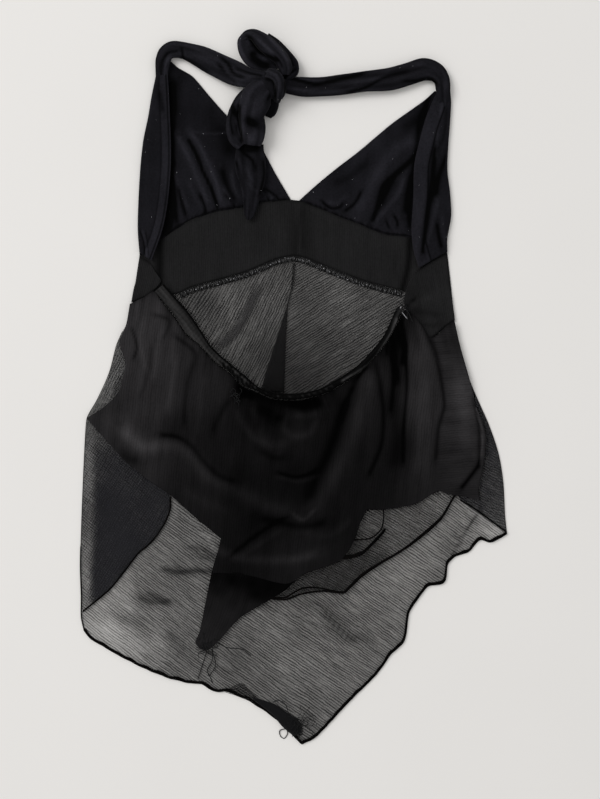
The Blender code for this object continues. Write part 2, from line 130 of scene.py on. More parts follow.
FLAP_LEFT_SIDE = ((-178, 70), (-184, 59), (-191, 43), (-199, 13), (-212, -16), (-222, -36),
                  (-225, -59), (-228, -126), (-230, -191), (-227, -242))
FLAP_LEFT_INNER = ((-130, 50), (-140, 0), (-140, -60), (-133, -118))
FLAP_LEFT_HEM = ((-227, -242), (-212, -230), (-198, -218), (-184, -201), (-172, -185),
                 (-167, -179), (-152, -166), (-139, -147), (-133, -132), (-133, -118))
FLAP_RIGHT_TOP = ((148, 30), (179, 43))
FLAP_RIGHT_SIDE = ((179, 43), (184, 25), (192, 1), (201, -20), (211, -43), (221, -73),
                   (226, -102), (228, -139), (230, -157))
FLAP_RIGHT_INNER = ((148, 30), (150, -20), (162, -80), (180, -122))
FLAP_RIGHT_HEM = ((180, -122), (195, -131), (210, -142), (222, -151), (230, -157))
LINING_TOP = ((-70, -140), (40, -150))
LINING_LEFT = ((-70, -140), (-80, -172), (-88, -199), (-101, -263), (-106, -275))
LINING_RIGHT = ((40, -150), (18, -190), (-8, -218), (-39, -237), (-58, -249), (-79, -272))
LINING_TIP = ((-106, -275), (-103, -280), (-94, -284), (-86, -279), (-79, -272))
SIDE_LEFT = (((-166, 141), (-155, 134)), ((-175, 91), (-161, 97), (-151, 104)),
             ((-166, 141), (-167, 125), (-172, 107), (-175, 91)),
             ((-155, 134), (-149, 124), (-143, 114), (-151, 104)))
SIDE_RIGHT = (((134, 126), (144, 133), (155, 139), (165, 143)),
              ((146, 50), (152, 54), (163, 64), (174, 72)),
              ((134, 126), (125, 114), (121, 103), (119, 90), (126, 78), (136, 65), (146, 50)),
              ((165, 143), (166, 129), (167, 114), (171, 95), (174, 72)))
CUP_LEFT_EDGE = ((-3, 202), (-20, 231), (-34, 257), (-52, 277), (-71, 292), (-90, 313),
                 (-109, 335), (-124, 344), (-132, 351))
CUP_RIGHT_EDGE = ((6, 201), (26, 219), (48, 237), (69, 253), (88, 269), (106, 284), (127, 299),
                  (141, 309), (152, 319))
# side x, side y, then where the part turned to the back ends: x, y
CUP_LEFT_TURN = ((-166, 143, -153, 136), (-168, 171, -141, 170), (-167, 206, -135, 202),
                 (-165, 239, -132, 239), (-162, 266, -132, 266), (-157, 290, -133, 290),
                 (-153, 314, -134, 314), (-149, 333, -135, 331), (-146, 350, -136, 350))
CUP_RIGHT_TURN = ((166, 145, 135, 128), (166, 161, 129, 148), (170, 184, 127, 170),
                  (169, 207, 129, 202), (166, 234, 130, 239), (167, 261, 136, 266),
                  (169, 288, 143, 291), (170, 306, 149, 306), (169, 320, 155, 319))


# ------------------------------------------------------------------------------ nets of cloth
@dataclass(frozen=True)
class Fold:
    """A soft ridge (or trough, if rise is negative) along a line."""

    rise: float
    spread: float
    run: Table
    # shade darkens the colour along the line when negative and lightens it when positive: painted shade in
    # troughs and creases, painted highlight on ridges
    shade: float = 0.0


@dataclass
class Net:
    """A net of cloth: its points, its weave, and its density and shade at each point."""

    points: np.ndarray
    weave: np.ndarray
    veil: np.ndarray
    shade: np.ndarray
    tube: bool = False


def curve_of(points: Table, count: int) -> np.ndarray:
    """Take even steps along a smooth line.

    Args:
        points: What the line passes through, any number of columns.
        count: How many steps.

    Returns:
        count + 1 points.
    """
    known = np.array(points, float)
    if len(known) > 2:
        ends = np.vstack([2 * known[0] - known[1], known, 2 * known[-1] - known[-2]])
        t = np.linspace(0, 1, EVEN_STEP)[:-1, None]
        runs = []
        for a, b, c, d in zip(ends[:-3], ends[1:-2], ends[2:-1], ends[3:]):
            own = np.linalg.norm(c - b)
            before, after = np.linalg.norm(b - a), np.linalg.norm(d - c)
            slack = min(1.0, own / max(before, 1e-6), own / max(after, 1e-6))
            out, into = (c - a) / 2 * slack, (d - b) / 2 * slack
            runs.append(b * (2 * t ** 3 - 3 * t ** 2 + 1) + c * (3 * t ** 2 - 2 * t ** 3)
                        + out * (t ** 3 - 2 * t ** 2 + t) + into * (t ** 3 - t ** 2))
        known = np.vstack(runs + [known[-1:]])
    gone = np.concatenate([[0], np.cumsum(np.linalg.norm(np.diff(known, axis=0), axis=1))])
    at = np.linspace(0, gone[-1], count + 1)
    return np.stack([np.interp(at, gone, known[:, i]) for i in range(known.shape[1])], axis=1)


def joined(points: Table, *runs: tuple[int, int]) -> np.ndarray:
    """Follow a rail in runs, so that its corners are met.

    Args:
        points: The rail.
        runs: For each run, the number of the point it ends on and its steps.

    Returns:
        The points of all the runs.
    """
    start, pieces = 0, [np.array(points[:1], float)]
    for corner, steps in runs:
        pieces.append(curve_of(points[start:corner + 1], steps)[1:])
        start = corner
    return np.vstack(pieces)


def patch(top: np.ndarray, low: np.ndarray, left: np.ndarray, right: np.ndarray) -> np.ndarray:
    """Stretch a net between four edges that meet at their ends.

    Args:
        top: The upper edge, left to right.
        low: The lower edge, left to right.
        left: The left edge, downwards.
        right: The right edge, downwards.

    Returns:
        The net, rows from top to low.
    """
    u = np.linspace(0, 1, len(top))[None, :, None]
    v = np.linspace(0, 1, len(left))[:, None, None]
    corners = ((1 - u) * (1 - v) * top[0] + u * (1 - v) * top[-1]
               + (1 - u) * v * low[0] + u * v * low[-1])
    return (1 - v) * top[None] + v * low[None] + (1 - u) * left[:, None] + u * right[:, None] - corners


def reach_to(xy: np.ndarray, line: np.ndarray) -> np.ndarray:
    """Measure how far each point of a net is from a line.

    Args:
        xy: The net's points.
        line: The line's points.

    Returns:
        The distance at each point.
    """
    flat = xy.reshape(-1, 2)
    best = np.full(len(flat), 1e9)
    for a, b in zip(line[:-1], line[1:]):
        way = b - a
        share = np.clip(((flat - a) @ way) / max(way @ way, 1e-9), 0, 1)
        best = np.minimum(best, np.linalg.norm(flat - a - share[:, None] * way, axis=1))
    return best.reshape(xy.shape[:-1])


def lift_of(xy: np.ndarray, folds: Sequence[Fold]) -> tuple[np.ndarray, np.ndarray]:
    """Add up what the folds do to a net.

    Args:
        xy: The net's points.
        folds: The folds.

    Returns:
        Their rise and their shade at each point.
    """
    rise, shade = np.zeros(xy.shape[:-1]), np.zeros(xy.shape[:-1])
    for fold in folds:
        line = curve_of(fold.run, 3 * len(fold.run) + 6)
        ends = np.minimum(np.linalg.norm(xy - line[0], axis=-1), np.linalg.norm(xy - line[-1], axis=-1))
        fade = np.clip(ends / (2 * fold.spread) + 0.5 / fold.spread, 0, 1)
        bump = np.exp(-(reach_to(xy, line) / fold.spread) ** 2) * fade
        rise += fold.rise * bump
        shade += fold.shade * bump
    return rise, shade


def blended(xy: np.ndarray, marks: Table) -> np.ndarray:
    """Spread values known at some places over a net.

    Args:
        xy: The net's points.
        marks: Rows of x, y, value.

    Returns:
        The value at each point.
    """
    known = np.array(marks, float)
    away = np.linalg.norm(xy[..., None, :] - known[:, :2], axis=-1) + MARK_CORE
    weight = away ** MARK_FADE
    return (weight * known[:, 2]).sum(-1) / weight.sum(-1)


def ripple(xy: np.ndarray, seed: int, size: float) -> np.ndarray:
    """Make a gentle unevenness, the same each time for a seed.

    Args:
        xy: The points it lies on.
        seed: Which unevenness.
        size: Its greatest height.

    Returns:
        Its height at each point, from nothing to size.
    """
    draw = np.random.default_rng(seed)
    total = np.zeros(xy.shape[:-1])
    for _ in range(RIPPLE_WAVES):
        angle = draw.uniform(0, math.tau)
        length = draw.uniform(*RIPPLE_LENGTHS)
        phase = draw.uniform(0, math.tau)
        way = np.array([math.cos(angle), math.sin(angle)]) * math.tau / length
        total += np.sin(xy @ way + phase) * length / RIPPLE_LENGTHS[1]
    return size * (0.5 + 0.5 * np.tanh(total / 2.2))


def turned(xy: np.ndarray, degrees: float) -> np.ndarray:
    """The weave of a net whose yarns run at an angle: along them, across them."""
    along = np.array([math.cos(math.radians(degrees)), math.sin(math.radians(degrees))])
    return np.stack([xy @ along, xy @ np.array([-along[1], along[0]])], axis=-1)


def surface_alpha(clear: np.ndarray) -> np.ndarray:
    """How solid each face of a wall is, for the share of light its cloth lets through."""
    return 1 - np.sqrt(np.clip(clear, 0.0, 1.0))


@dataclass
class Panel:
    """A panel of cloth that lies flat between four seam rails: top, low edge, left and right.

    grain is the yarns' angle in degrees. A row of clear is x, y and the share of light let through
    there, a row of shades is x, y and how light the cloth is there. A row of droop is a rail's number and
    how far it sinks, a row of edge_shadow is a rail's number, how deep a painted shadow darkens the
    cloth along that rail and how wide. The folds paint their shade and highlight into the colour too.
    """

    rails: tuple
    rows: int
    cols: int
    base: float
    folds: tuple[Fold, ...] = ()
    grain: float = 0.0
    clear: Table = ()
    shades: Table = ()
    droop: tuple = ()
    edge_shadow: tuple = ()
    unevenness: float = 0.4
    seed: int = 1
    flat_margin: float = 10.0
    droop_reach: float = 7.0
    painted_fold_shade: float = 1.6
    fold_density: float = 0.1

    def net(self) -> Net:
        """Work out the panel's net.

        Returns:
            The net, rows from the top to the low edge.
        """
        top, low = [e if isinstance(e, np.ndarray) else curve_of(e, self.cols) for e in self.rails[:2]]
        left, right = [curve_of(e, self.rows) for e in self.rails[2:]]
        xy = patch(top, low, left, right)
        rise, shade = lift_of(xy, self.folds)
        edge = np.minimum.reduce([reach_to(xy, e) for e in (top, low, left, right)])
        height = self.base + rise * np.clip(edge / self.flat_margin, 0.25, 1)
        height += ripple(xy, self.seed, self.unevenness)
        for place, depth in self.droop:
            line = (top, low, left, right)[place]
            height -= depth * np.exp(-(reach_to(xy, line) / self.droop_reach) ** 1.5)
        weave = turned(xy, self.grain)
        veil = surface_alpha(blended(xy, self.clear)) if self.clear else np.ones(xy.shape[:2])
        tone = blended(xy, self.shades) if self.shades else np.ones(xy.shape[:2])
        # painted shade and highlight of the folds, then painted shadow along the chosen rails
        tone = tone * np.clip(1 + self.painted_fold_shade * shade, DARKEST, LIGHTEST)
        for place, depth, width in self.edge_shadow:
            line = (top, low, left, right)[place]
            tone *= 1 - depth * np.exp(-(reach_to(xy, line) / width) ** 2)
        return Net(np.dstack([xy, height]), weave, np.clip(veil + shade * self.fold_density, 0, 1),
                   np.clip(tone, 0.05, 9))


@dataclass
class Band:
    """A folded cloth band or a tube, swept along its sections.

    Each section is x, y, z, heading, lift, width, thickness: heading and lift in degrees are the
    directions of the band's width.
    """

    sections: Table
    steps: int
    ring: int = 24
    pleats: int = 2
    depth: float = 0.5
    ruche: float = 0.0
    raised: bool = False
    seed: int = 3
    shade: float = 1.0
    folds: tuple[Fold, ...] = ()
    corner: float = 0.65
    crease_drift: tuple[float, float] = (0.045, -0.07)
    notch_pitch: float = 4.4
    ruched_middle: float = 0.48
    painted_crease_shade: float = 0.3
    painted_pucker_shade: float = 0.9
    painted_fold_shade: float = 1.7

    def net(self) -> Net:
        """Work out the band's net.

        Returns:
            The tube's net, one row a ring.
        """
        table = curve_of(self.sections, self.steps)
        draw = np.random.default_rng(self.seed)
        length = np.concatenate([[0], np.cumsum(np.linalg.norm(np.diff(table[:, :3], axis=0), axis=1))])
        sway = draw.uniform(0, math.tau, 4)
        turn = np.linspace(0, math.tau, self.ring + 1)
        across, side = np.cos(turn), np.sign(np.sin(turn))
        deep = np.abs(np.sin(turn)) ** self.corner * side
        points, weave, tones = [], [], []
        for i, row in enumerate(table):
            place = row[:3]
            heading, lift = np.radians(row[3:5])
            run = table[min(i + 1, self.steps), :3] - table[max(i - 1, 0), :3]
            wide = np.array([math.cos(heading) * math.cos(lift), math.sin(heading) * math.cos(lift),
                             math.sin(lift)])
            run = run / np.linalg.norm(run)
            wide = wide - run * wide.dot(run)
            wide = wide / np.linalg.norm(wide)
            out = np.cross(run, wide)
            s = length[i]
            crease = np.cos(across * math.pi * self.pleats + sway[0] + s * self.crease_drift[0])
            second = across * math.pi * (self.pleats + 1.7) + sway[1] + s * self.crease_drift[1]
            crease += 0.5 * np.cos(second)
            beat = s * math.tau / self.notch_pitch + 1.3 * math.sin(s * 0.21)
            notch = np.sin(beat + sway[2] + 1.3 * across)
            gone = s / max(length[-1], 1)
            pucker = self.ruche * (0.25 - 1.1 * np.exp(-(1 + notch) / 0.4))
            pucker *= 0.15 + 0.85 * math.exp(-((gone - self.ruched_middle) / 0.2) ** 2)
            thick = row[6] / 2 * deep + self.depth * crease * np.abs(np.sin(turn))
            thick = thick + pucker * side * np.abs(np.sin(turn)) ** 0.3
            reach = row[5] / 2 * across * (1 + 0.03 * math.sin(s * 0.11 + sway[3])) + pucker * 0.6 * across
            points.append(place + wide * reach[:, None] + out * thick[:, None])
            weave.append(np.stack([np.full(self.ring + 1, s), turn / math.tau * row[5] * 2], axis=1))
            # painted shade in the creases' valleys and the ruching's notches, lighter on their crests
            tones.append(self.shade * (1 + self.painted_crease_shade * crease + self.painted_pucker_shade * pucker))
        points, tone = np.array(points), np.array(tones)
        rise, shade = lift_of(points[..., :2], self.folds)
        upper = points[..., 2] > table[:, 2:3]
        points[..., 2] += rise * upper
        if self.raised:
            points[..., :2] += (np.array(VIEW_MIDDLE) - points[..., :2]) * points[..., 2:] / CAMERA_HEIGHT
        # the folds paint their shade and highlight on the upper half
        tone = np.clip(tone * (1 + self.painted_fold_shade * shade * upper), DARKEST, 6)
        return Net(points, np.array(weave), np.ones(tone.shape), tone, True)


def make_cloth(name: str, nets: Sequence[Net], wall: float = 0.0, flip: bool = False) -> bpy.types.Object:
    """Make one piece from nets of cloth.

    Args:
        name: The piece's name.
        nets: Its nets, in mm.
        wall: The thickness its open nets are given, in mm.
        flip: Whether the wall goes to the other side.

    Returns:
        The piece, at the origin.
    """
    build = bmesh.new()
    uv = build.loops.layers.uv.new("weave")
    veil = build.verts.layers.float.new("veil")
    shade = build.verts.layers.float.new("shade")
    for net in nets:
        rows, cols = net.points.shape[:2]
        made = bmesh.ops.create_grid(build, x_segments=cols - 1, y_segments=rows - 1, size=1)["verts"]
        where = {}
        for vert in made:
            c = round((vert.co.x + 1) / 2 * (cols - 1))
            r = round((1 - vert.co.y) / 2 * (rows - 1))
            where[vert] = (r, c)
            vert.co = (net.points[r, c] - FOOTPRINT_SHIFT) * MM
            vert[veil], vert[shade] = net.veil[r, c], net.shade[r, c]
        faces = {face for vert in made for face in vert.link_faces}
        for face in faces:
            for loop in face.loops:
                loop[uv].uv = net.weave[where[loop.vert]] * MM
        if net.tube:
            bmesh.ops.remove_doubles(build, verts=made, dist=1e-6)
            rims = [e for e in build.edges if e.is_boundary and e.verts[0] in where]
            bmesh.ops.holes_fill(build, edges=rims, sides=0)
            bmesh.ops.recalc_face_normals(build, faces=[f for f in build.faces if f.verts[0] in where])
        elif flip:
            bmesh.ops.reverse_faces(build, faces=list(faces))
    mesh = bpy.data.meshes.new(name)
    build.to_mesh(mesh)
    build.free()
    mesh.polygons.foreach_set("use_smooth", [True] * len(mesh.polygons))
    piece = bpy.data.objects.new(name, mesh)
    bpy.context.scene.collection.objects.link(piece)
    if wall:
        shell = piece.modifiers.new("wall", "SOLIDIFY")
        shell.thickness, shell.offset = wall * MM, 1
    return piece


def thread_net(points: Table, radius: float, steps: int, ring: int = 6) -> Net:
    """Lay a thin thread or a rolled hem along points.

    Args:
        points: What it passes through, in mm.
        radius: Half its thickness.
        steps: How many rings long it is.
        ring: How many sides a ring has.

    Returns:
        The tube's net.
    """
    line = curve_of(points, steps)
    run = np.gradient(line, axis=0)
    run /= np.maximum(np.linalg.norm(run, axis=1, keepdims=True), 1e-9)
    side = np.cross(run, [0.0, 0.0, 1.0])
    side /= np.maximum(np.linalg.norm(side, axis=1, keepdims=True), 1e-9)
    up = np.cross(side, run)
    turn = np.linspace(0, math.tau, ring + 1)
    rim = side[:, None] * np.cos(turn)[:, None] + up[:, None] * np.sin(turn)[:, None]
    points = line[:, None] + radius * rim
    weave = np.stack(np.broadcast_arrays(np.arange(steps + 1)[:, None] * 1.0, turn * radius), axis=-1)
    return Net(points, weave, np.ones(points.shape[:2]), np.ones(points.shape[:2]), True)


# ------------------------------------------------------------------------------ finishes
class NodeKit:
    """Places and joins nodes in one tree."""

    def __init__(self, tree: bpy.types.NodeTree) -> None:
        """Work in a tree."""
        self.tree = tree

    def add(self, kind: str, **settings: object) -> bpy.types.Node:
        """Place a node.

        Args:
            kind: Its type name without the prefix ShaderNode.
            settings: Its properties.

        Returns:
            The node.
        """
        node = self.tree.nodes.new("ShaderNode" + kind)
        for name, value in settings.items():
            setattr(node, name, value)
        return node

    def math(self, kind: str, a: object, b: object = 0.0, c: object = 0.0) -> bpy.types.NodeSocket:
        """Work on sockets or numbers with a Math node.

        Args:
            kind: What it does with them.
            a: The first.
            b: The second.
            c: The third, if it takes three.

        Returns:
            The result's socket.
        """
        node = self.add("Math", operation=kind)
        for socket, value in zip(node.inputs, (a, b, c)):
            self.feed(value, socket)
        return node.outputs[0]

    def feed(self, value: object, socket: bpy.types.NodeSocket) -> None:
        """Give a socket a value.

        Args:
            value: A number, a colour, or another socket.
            socket: The socket that gets it.
        """
        if isinstance(value, bpy.types.NodeSocket):
            self.tree.links.new(value, socket)
        else:
            socket.default_value = value

    def noise(self, vector: bpy.types.NodeSocket, scale: float, detail: float = 2.0) -> bpy.types.NodeSocket:
        """Place a noise.

        Args:
            vector: Where it is read.
            scale: How many of its features there are to a unit.
            detail: How many finer layers it has.

        Returns:
            The noise's value there.
        """
        node = self.add("TexNoise")
        node.inputs["Scale"].default_value = scale
        node.inputs["Detail"].default_value = detail
        self.feed(vector, node.inputs["Vector"])
        return node.outputs["Fac"]


def new_group(name: str, inputs: dict[str, str], outputs: dict[str, str]) -> bpy.types.NodeTree:
    """Start a shader node group with named sockets.

    Args:
        name: The group's name.
        inputs: Socket name to socket type.
        outputs: Socket name to socket type.

    Returns:
        The group's tree, with its input and output nodes placed.
    """
    tree = bpy.data.node_groups.new(name, "ShaderNodeTree")
    for way, sockets in (("INPUT", inputs), ("OUTPUT", outputs)):
        for label, kind in sockets.items():
            tree.interface.new_socket(name=label, in_out=way, socket_type="NodeSocket" + kind)
    tree.nodes.new("NodeGroupInput")
    tree.nodes.new("NodeGroupOutput")
    return tree


@dataclass(frozen=True)
class Crinkle:
    """The fine parallel crinkle of chiffon and crepe: wandering lines, uneven in strength."""

    slow_scale: float = 18.0
    quick_scale: float = 90.0
    slow_sway: float = 1.2
    quick_sway: float = 0.7
    sway_reach: float = 0.004
    sharpness: float = 2.2
    streak_scale: tuple[float, float] = (40.0, 1.3)
    streak_contrast: float = 2.4
    drape_scale: tuple[float, float] = (14.0, 95.0)

    def group(self) -> bpy.types.NodeTree:
        """Build the group.

        Returns:
            Its tree, which gives the lines' strength and the cloth's broad soft streaks.
        """
        tree = new_group("crinkle", {"Weave": "Vector", "Period": "Float", "Wander": "Float"},
                         {"Line": "Float", "Drape": "Float"})
        kit = NodeKit(tree)
        given, out = tree.nodes["Group Input"], tree.nodes["Group Output"]
        split = kit.add("SeparateXYZ")
        kit.feed(given.outputs["Weave"], split.inputs[0])
        slow = kit.noise(given.outputs["Weave"], self.slow_scale, 1.0)
        quick = kit.noise(given.outputs["Weave"], self.quick_scale, 2.0)
        sway = kit.math("MULTIPLY_ADD", kit.math("SUBTRACT", slow, 0.5), self.slow_sway,
                        kit.math("MULTIPLY", kit.math("SUBTRACT", quick, 0.5), self.quick_sway))
        reach = kit.math("MULTIPLY", given.outputs["Wander"], self.sway_reach)
        across = kit.math("MULTIPLY_ADD", sway, reach, split.outputs["Y"])
        turns = kit.math("DIVIDE", across, given.outputs["Period"])
        wave = kit.math("MULTIPLY_ADD", kit.math("SINE", kit.math("MULTIPLY", turns, math.tau)), 0.5, 0.5)
        wave = kit.math("POWER", wave, self.sharpness)
        streak = self.stretched(kit, split.outputs["X"], turns, self.streak_scale, 2.0)
        streak = kit.math("MULTIPLY_ADD", kit.math("SUBTRACT", streak, 0.5), self.streak_contrast, 0.5)
        mixed = kit.math("MULTIPLY_ADD", wave, kit.math("MULTIPLY_ADD", streak, 1.0, 0.25),
                         kit.math("MULTIPLY", streak, 0.3))
        clamp = kit.add("Clamp")
        kit.feed(mixed, clamp.inputs[0])
        kit.feed(clamp.outputs[0], out.inputs["Line"])
        drape = self.stretched(kit, split.outputs["X"], split.outputs["Y"], self.drape_scale, 3.0)
        kit.feed(kit.math("SUBTRACT", drape, 0.5), out.inputs["Drape"])
        return tree

    @staticmethod
    def stretched(kit: NodeKit, along: bpy.types.NodeSocket, across: bpy.types.NodeSocket,
                  scale: tuple[float, float], detail: float) -> bpy.types.NodeSocket:
        """Place a noise drawn out along the yarns.

        Args:
            kit: The tree's kit.
            along: How far along the yarns it is read.
            across: How far across them.
            scale: The noise's scale along and across.
            detail: How many finer layers it has.

        Returns:
            The noise's value.
        """
        place = kit.add("CombineXYZ")
        kit.feed(kit.math("MULTIPLY", along, scale[0]), place.inputs["X"])
        kit.feed(kit.math("MULTIPLY", across, scale[1]), place.inputs["Y"])
        return kit.noise(place.outputs[0], 1.0, detail)


@dataclass(frozen=True)
class Lint:
    """The sparse specks of pale lint that black cloth picks up."""

    smallest: float = 0.008
    spread: float = 0.03

    def group(self) -> bpy.types.NodeTree:
        """Build the group.

        Returns:
            Its tree, which gives 1 on a speck and 0 elsewhere.
        """
        tree = new_group("lint", {"Place": "Vector", "Spacing": "Float", "Share": "Float"},
                         {"Speck": "Float"})
        kit = NodeKit(tree)
        given, out = tree.nodes["Group Input"], tree.nodes["Group Output"]
        cells = kit.add("TexVoronoi", feature="F1", voronoi_dimensions="2D")
        kit.feed(given.outputs["Place"], cells.inputs["Vector"])
        kit.feed(kit.math("DIVIDE", 1.0, given.outputs["Spacing"]), cells.inputs["Scale"])
        pick = kit.add("SeparateColor")
        kit.feed(cells.outputs["Color"], pick.inputs[0])
        chosen = kit.math("LESS_THAN", pick.outputs[0], given.outputs["Share"])
        size = kit.math("MULTIPLY_ADD", pick.outputs[1], self.spread, self.smallest)
        near = kit.math("LESS_THAN", cells.outputs["Distance"], size)
        kit.feed(kit.math("MULTIPLY", chosen, near), out.inputs["Speck"])
        return tree


@dataclass(frozen=True)
class ClothFinish:
    """A black cloth: its colour, light, weave and how much shows through it."""

    name: str
    colour: tuple[float, float, float]
    roughness: float = 0.75
    sheen: float = 0.1
    specular: float = 0.04
    period: float = 0.0031
    wander: float = 1.0
    line_tone: float = 0.2
    line_height: float = 0.2
    line_clear: float = 0.0
    grain_clear: float = 0.0
    lint: float = 0.0
    mottle: float = 0.25
    speckle: float = 0.35
    drape: float = 0.0
    line_middle: float = 0.41
    cloud_scale: float = 28.0
    grain_scale: float = 520.0
    fuzz_scale: float = 1500.0
    fuzz_height: float = 0.12
    bump_strength: float = 0.6
    bump_depth: float = 0.0006
    sheen_roughness: float = 0.5
    lint_spacing: float = 0.007
    lint_colour: tuple[float, float, float, float] = (0.5, 0.5, 0.52, 1)
    clear_gain: float = 8

    def material(self) -> bpy.types.Material:
        """Build the finish's material.

        Returns:
            The material, which reads a piece's weave, veil and shade.
        """
        made = bpy.data.materials.new(self.name)
        made.use_nodes = True
        tree = made.node_tree
        kit, surface = NodeKit(tree), tree.nodes["Principled BSDF"]
        uv = kit.add("UVMap", uv_map="weave").outputs[0]
        place = kit.add("TexCoord").outputs["Object"]
        veil = kit.add("Attribute", attribute_name="veil").outputs["Fac"]
        shade = kit.add("Attribute", attribute_name="shade").outputs["Fac"]
        weave = kit.add("Group", node_tree=bpy.data.node_groups["crinkle"])
        kit.feed(uv, weave.inputs["Weave"])
        weave.inputs["Period"].default_value = self.period
        weave.inputs["Wander"].default_value = self.wander
        line = kit.math("SUBTRACT", weave.outputs["Line"], self.line_middle)
        cloud = kit.math("SUBTRACT", kit.noise(place, self.cloud_scale, 3.0), 0.5)
        tone = kit.math("MULTIPLY_ADD", line, -self.line_tone * 2,
                        kit.math("MULTIPLY_ADD", cloud, self.mottle * 2, 1.0))
        grains = kit.math("SUBTRACT", kit.noise(place, self.grain_scale, 2.0), 0.5)
        tone = kit.math("MULTIPLY_ADD", grains, self.speckle * 2, tone)
        tone = kit.math("MULTIPLY_ADD", weave.outputs["Drape"], self.drape * 2, tone)
        # shade holds the cloth's own lightness and the painted shade, highlights and shadows
        tone = kit.math("MULTIPLY", tone, shade)
        colour = kit.add("VectorMath", operation="SCALE")
        colour.inputs[0].default_value = self.colour
        kit.feed(tone, colour.inputs["Scale"])
        last = colour.outputs[0]
        if self.lint:
            lint = kit.add("Group", node_tree=bpy.data.node_groups["lint"])
            kit.feed(uv, lint.inputs["Place"])
            lint.inputs["Spacing"].default_value = self.lint_spacing
            lint.inputs["Share"].default_value = self.lint
            mix = kit.add("Mix", data_type="RGBA")
            kit.feed(lint.outputs["Speck"], mix.inputs[0])
            kit.feed(last, mix.inputs[6])
            mix.inputs[7].default_value = self.lint_colour
            last = mix.outputs[2]
        kit.feed(last, surface.inputs["Base Color"])
        if self.line_clear:
            strength = kit.math("MULTIPLY", veil, kit.math("SUBTRACT", 1.0, veil))
            change = kit.math("MULTIPLY_ADD", grains, self.grain_clear * self.clear_gain,
                              kit.math("MULTIPLY", line, self.line_clear * self.clear_gain))
            alpha = kit.math("MULTIPLY_ADD", change, strength, veil)
            clamp = kit.add("Clamp")
            kit.feed(alpha, clamp.inputs[0])
            kit.feed(clamp.outputs[0], surface.inputs["Alpha"])
        fuzz = kit.math("MULTIPLY", kit.noise(place, self.fuzz_scale, 1.0), self.fuzz_height)
        height = kit.math("MULTIPLY_ADD", line, self.line_height, fuzz)
        bump = kit.add("Bump")
        bump.inputs["Strength"].default_value = self.bump_strength
        bump.inputs["Distance"].default_value = self.bump_depth
        kit.feed(height, bump.inputs["Height"])
        kit.feed(bump.outputs[0], surface.inputs["Normal"])
        surface.inputs["Roughness"].default_value = self.roughness
        surface.inputs["Sheen Weight"].default_value = self.sheen
        surface.inputs["Sheen Roughness"].default_value = self.sheen_roughness
        surface.inputs["Specular IOR Level"].default_value = self.specular
        return made


DOUBLED = ClothFinish("doubled_chiffon", (0.0152, 0.0151, 0.0178), line_clear=0.13, grain_clear=0.16,
                      line_tone=0.1, specular=0.05, drape=0.35, speckle=0.25, period=0.0026)
SHEER = ClothFinish("sheer_chiffon", (0.013, 0.0125, 0.0128), line_clear=0.18, grain_clear=0.09,
                    line_tone=0.1, specular=0.05, sheen=0.05, period=0.0025, wander=0.9)
LAYERED = ClothFinish("layered_chiffon", (0.0114, 0.0108, 0.0113), period=0.0026, line_tone=0.16,
                      line_height=0.15, specular=0.008, sheen=0.008, speckle=0.25, drape=0.45)
CREPE = ClothFinish("crepe", (0.0103, 0.0101, 0.0104), period=0.0019, wander=0.6, line_tone=0.2, drape=0.25,
                    line_height=0.4, sheen=0.06)
JERSEY = ClothFinish("jersey", (0.0092, 0.0089, 0.0113), period=0.0012, line_tone=0.08, line_height=0.1,
                     lint=0.085, sheen=0.03, specular=0.02, mottle=0.4, speckle=0.5, drape=0.35)
CASING = ClothFinish("casing", (0.0188, 0.0183, 0.0183), roughness=0.6, sheen=0.01, specular=0.03,
                     line_tone=0.2, drape=0.4)
ROLLED = ClothFinish("rolled_hem", (0.003, 0.0027, 0.0026), period=0.0012, line_tone=0.3, roughness=0.9,
                     sheen=0.0, specular=0.01)
FRAYED = ClothFinish("frayed_thread", (0.0045, 0.0045, 0.005), period=0.0012, line_tone=0.3)
OVERLOCK = ClothFinish("overlock_thread", (0.012, 0.012, 0.0125), roughness=0.25, specular=0.9,
                       period=0.0012, line_tone=0.3)


class Wardrobe:
    """Makes each finish's material once and dresses pieces in it."""

    def __init__(self) -> None:
        """Build the shared groups."""
        Crinkle().group()
        Lint().group()
        self.made: dict[str, bpy.types.Material] = {}

    def dress(self, piece: bpy.types.Object, finish: ClothFinish, slot: str,
              nodes: Sequence[str] = ()) -> None:
        """Give a piece its finish and tie it to the frame.

        Args:
            piece: The piece.
            finish: What it is made of.
            slot: A material slot's name, not used.
            nodes: The CAD nodes it stands for.
        """
        if finish.name not in self.made:
            self.made[finish.name] = finish.material()
        piece.data.materials.append(self.made[finish.name])
        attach(piece, "root")
        if nodes:
            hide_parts(*nodes)
        LOG.info("%s: %d points, %s", piece.name, len(piece.data.vertices), finish.name)


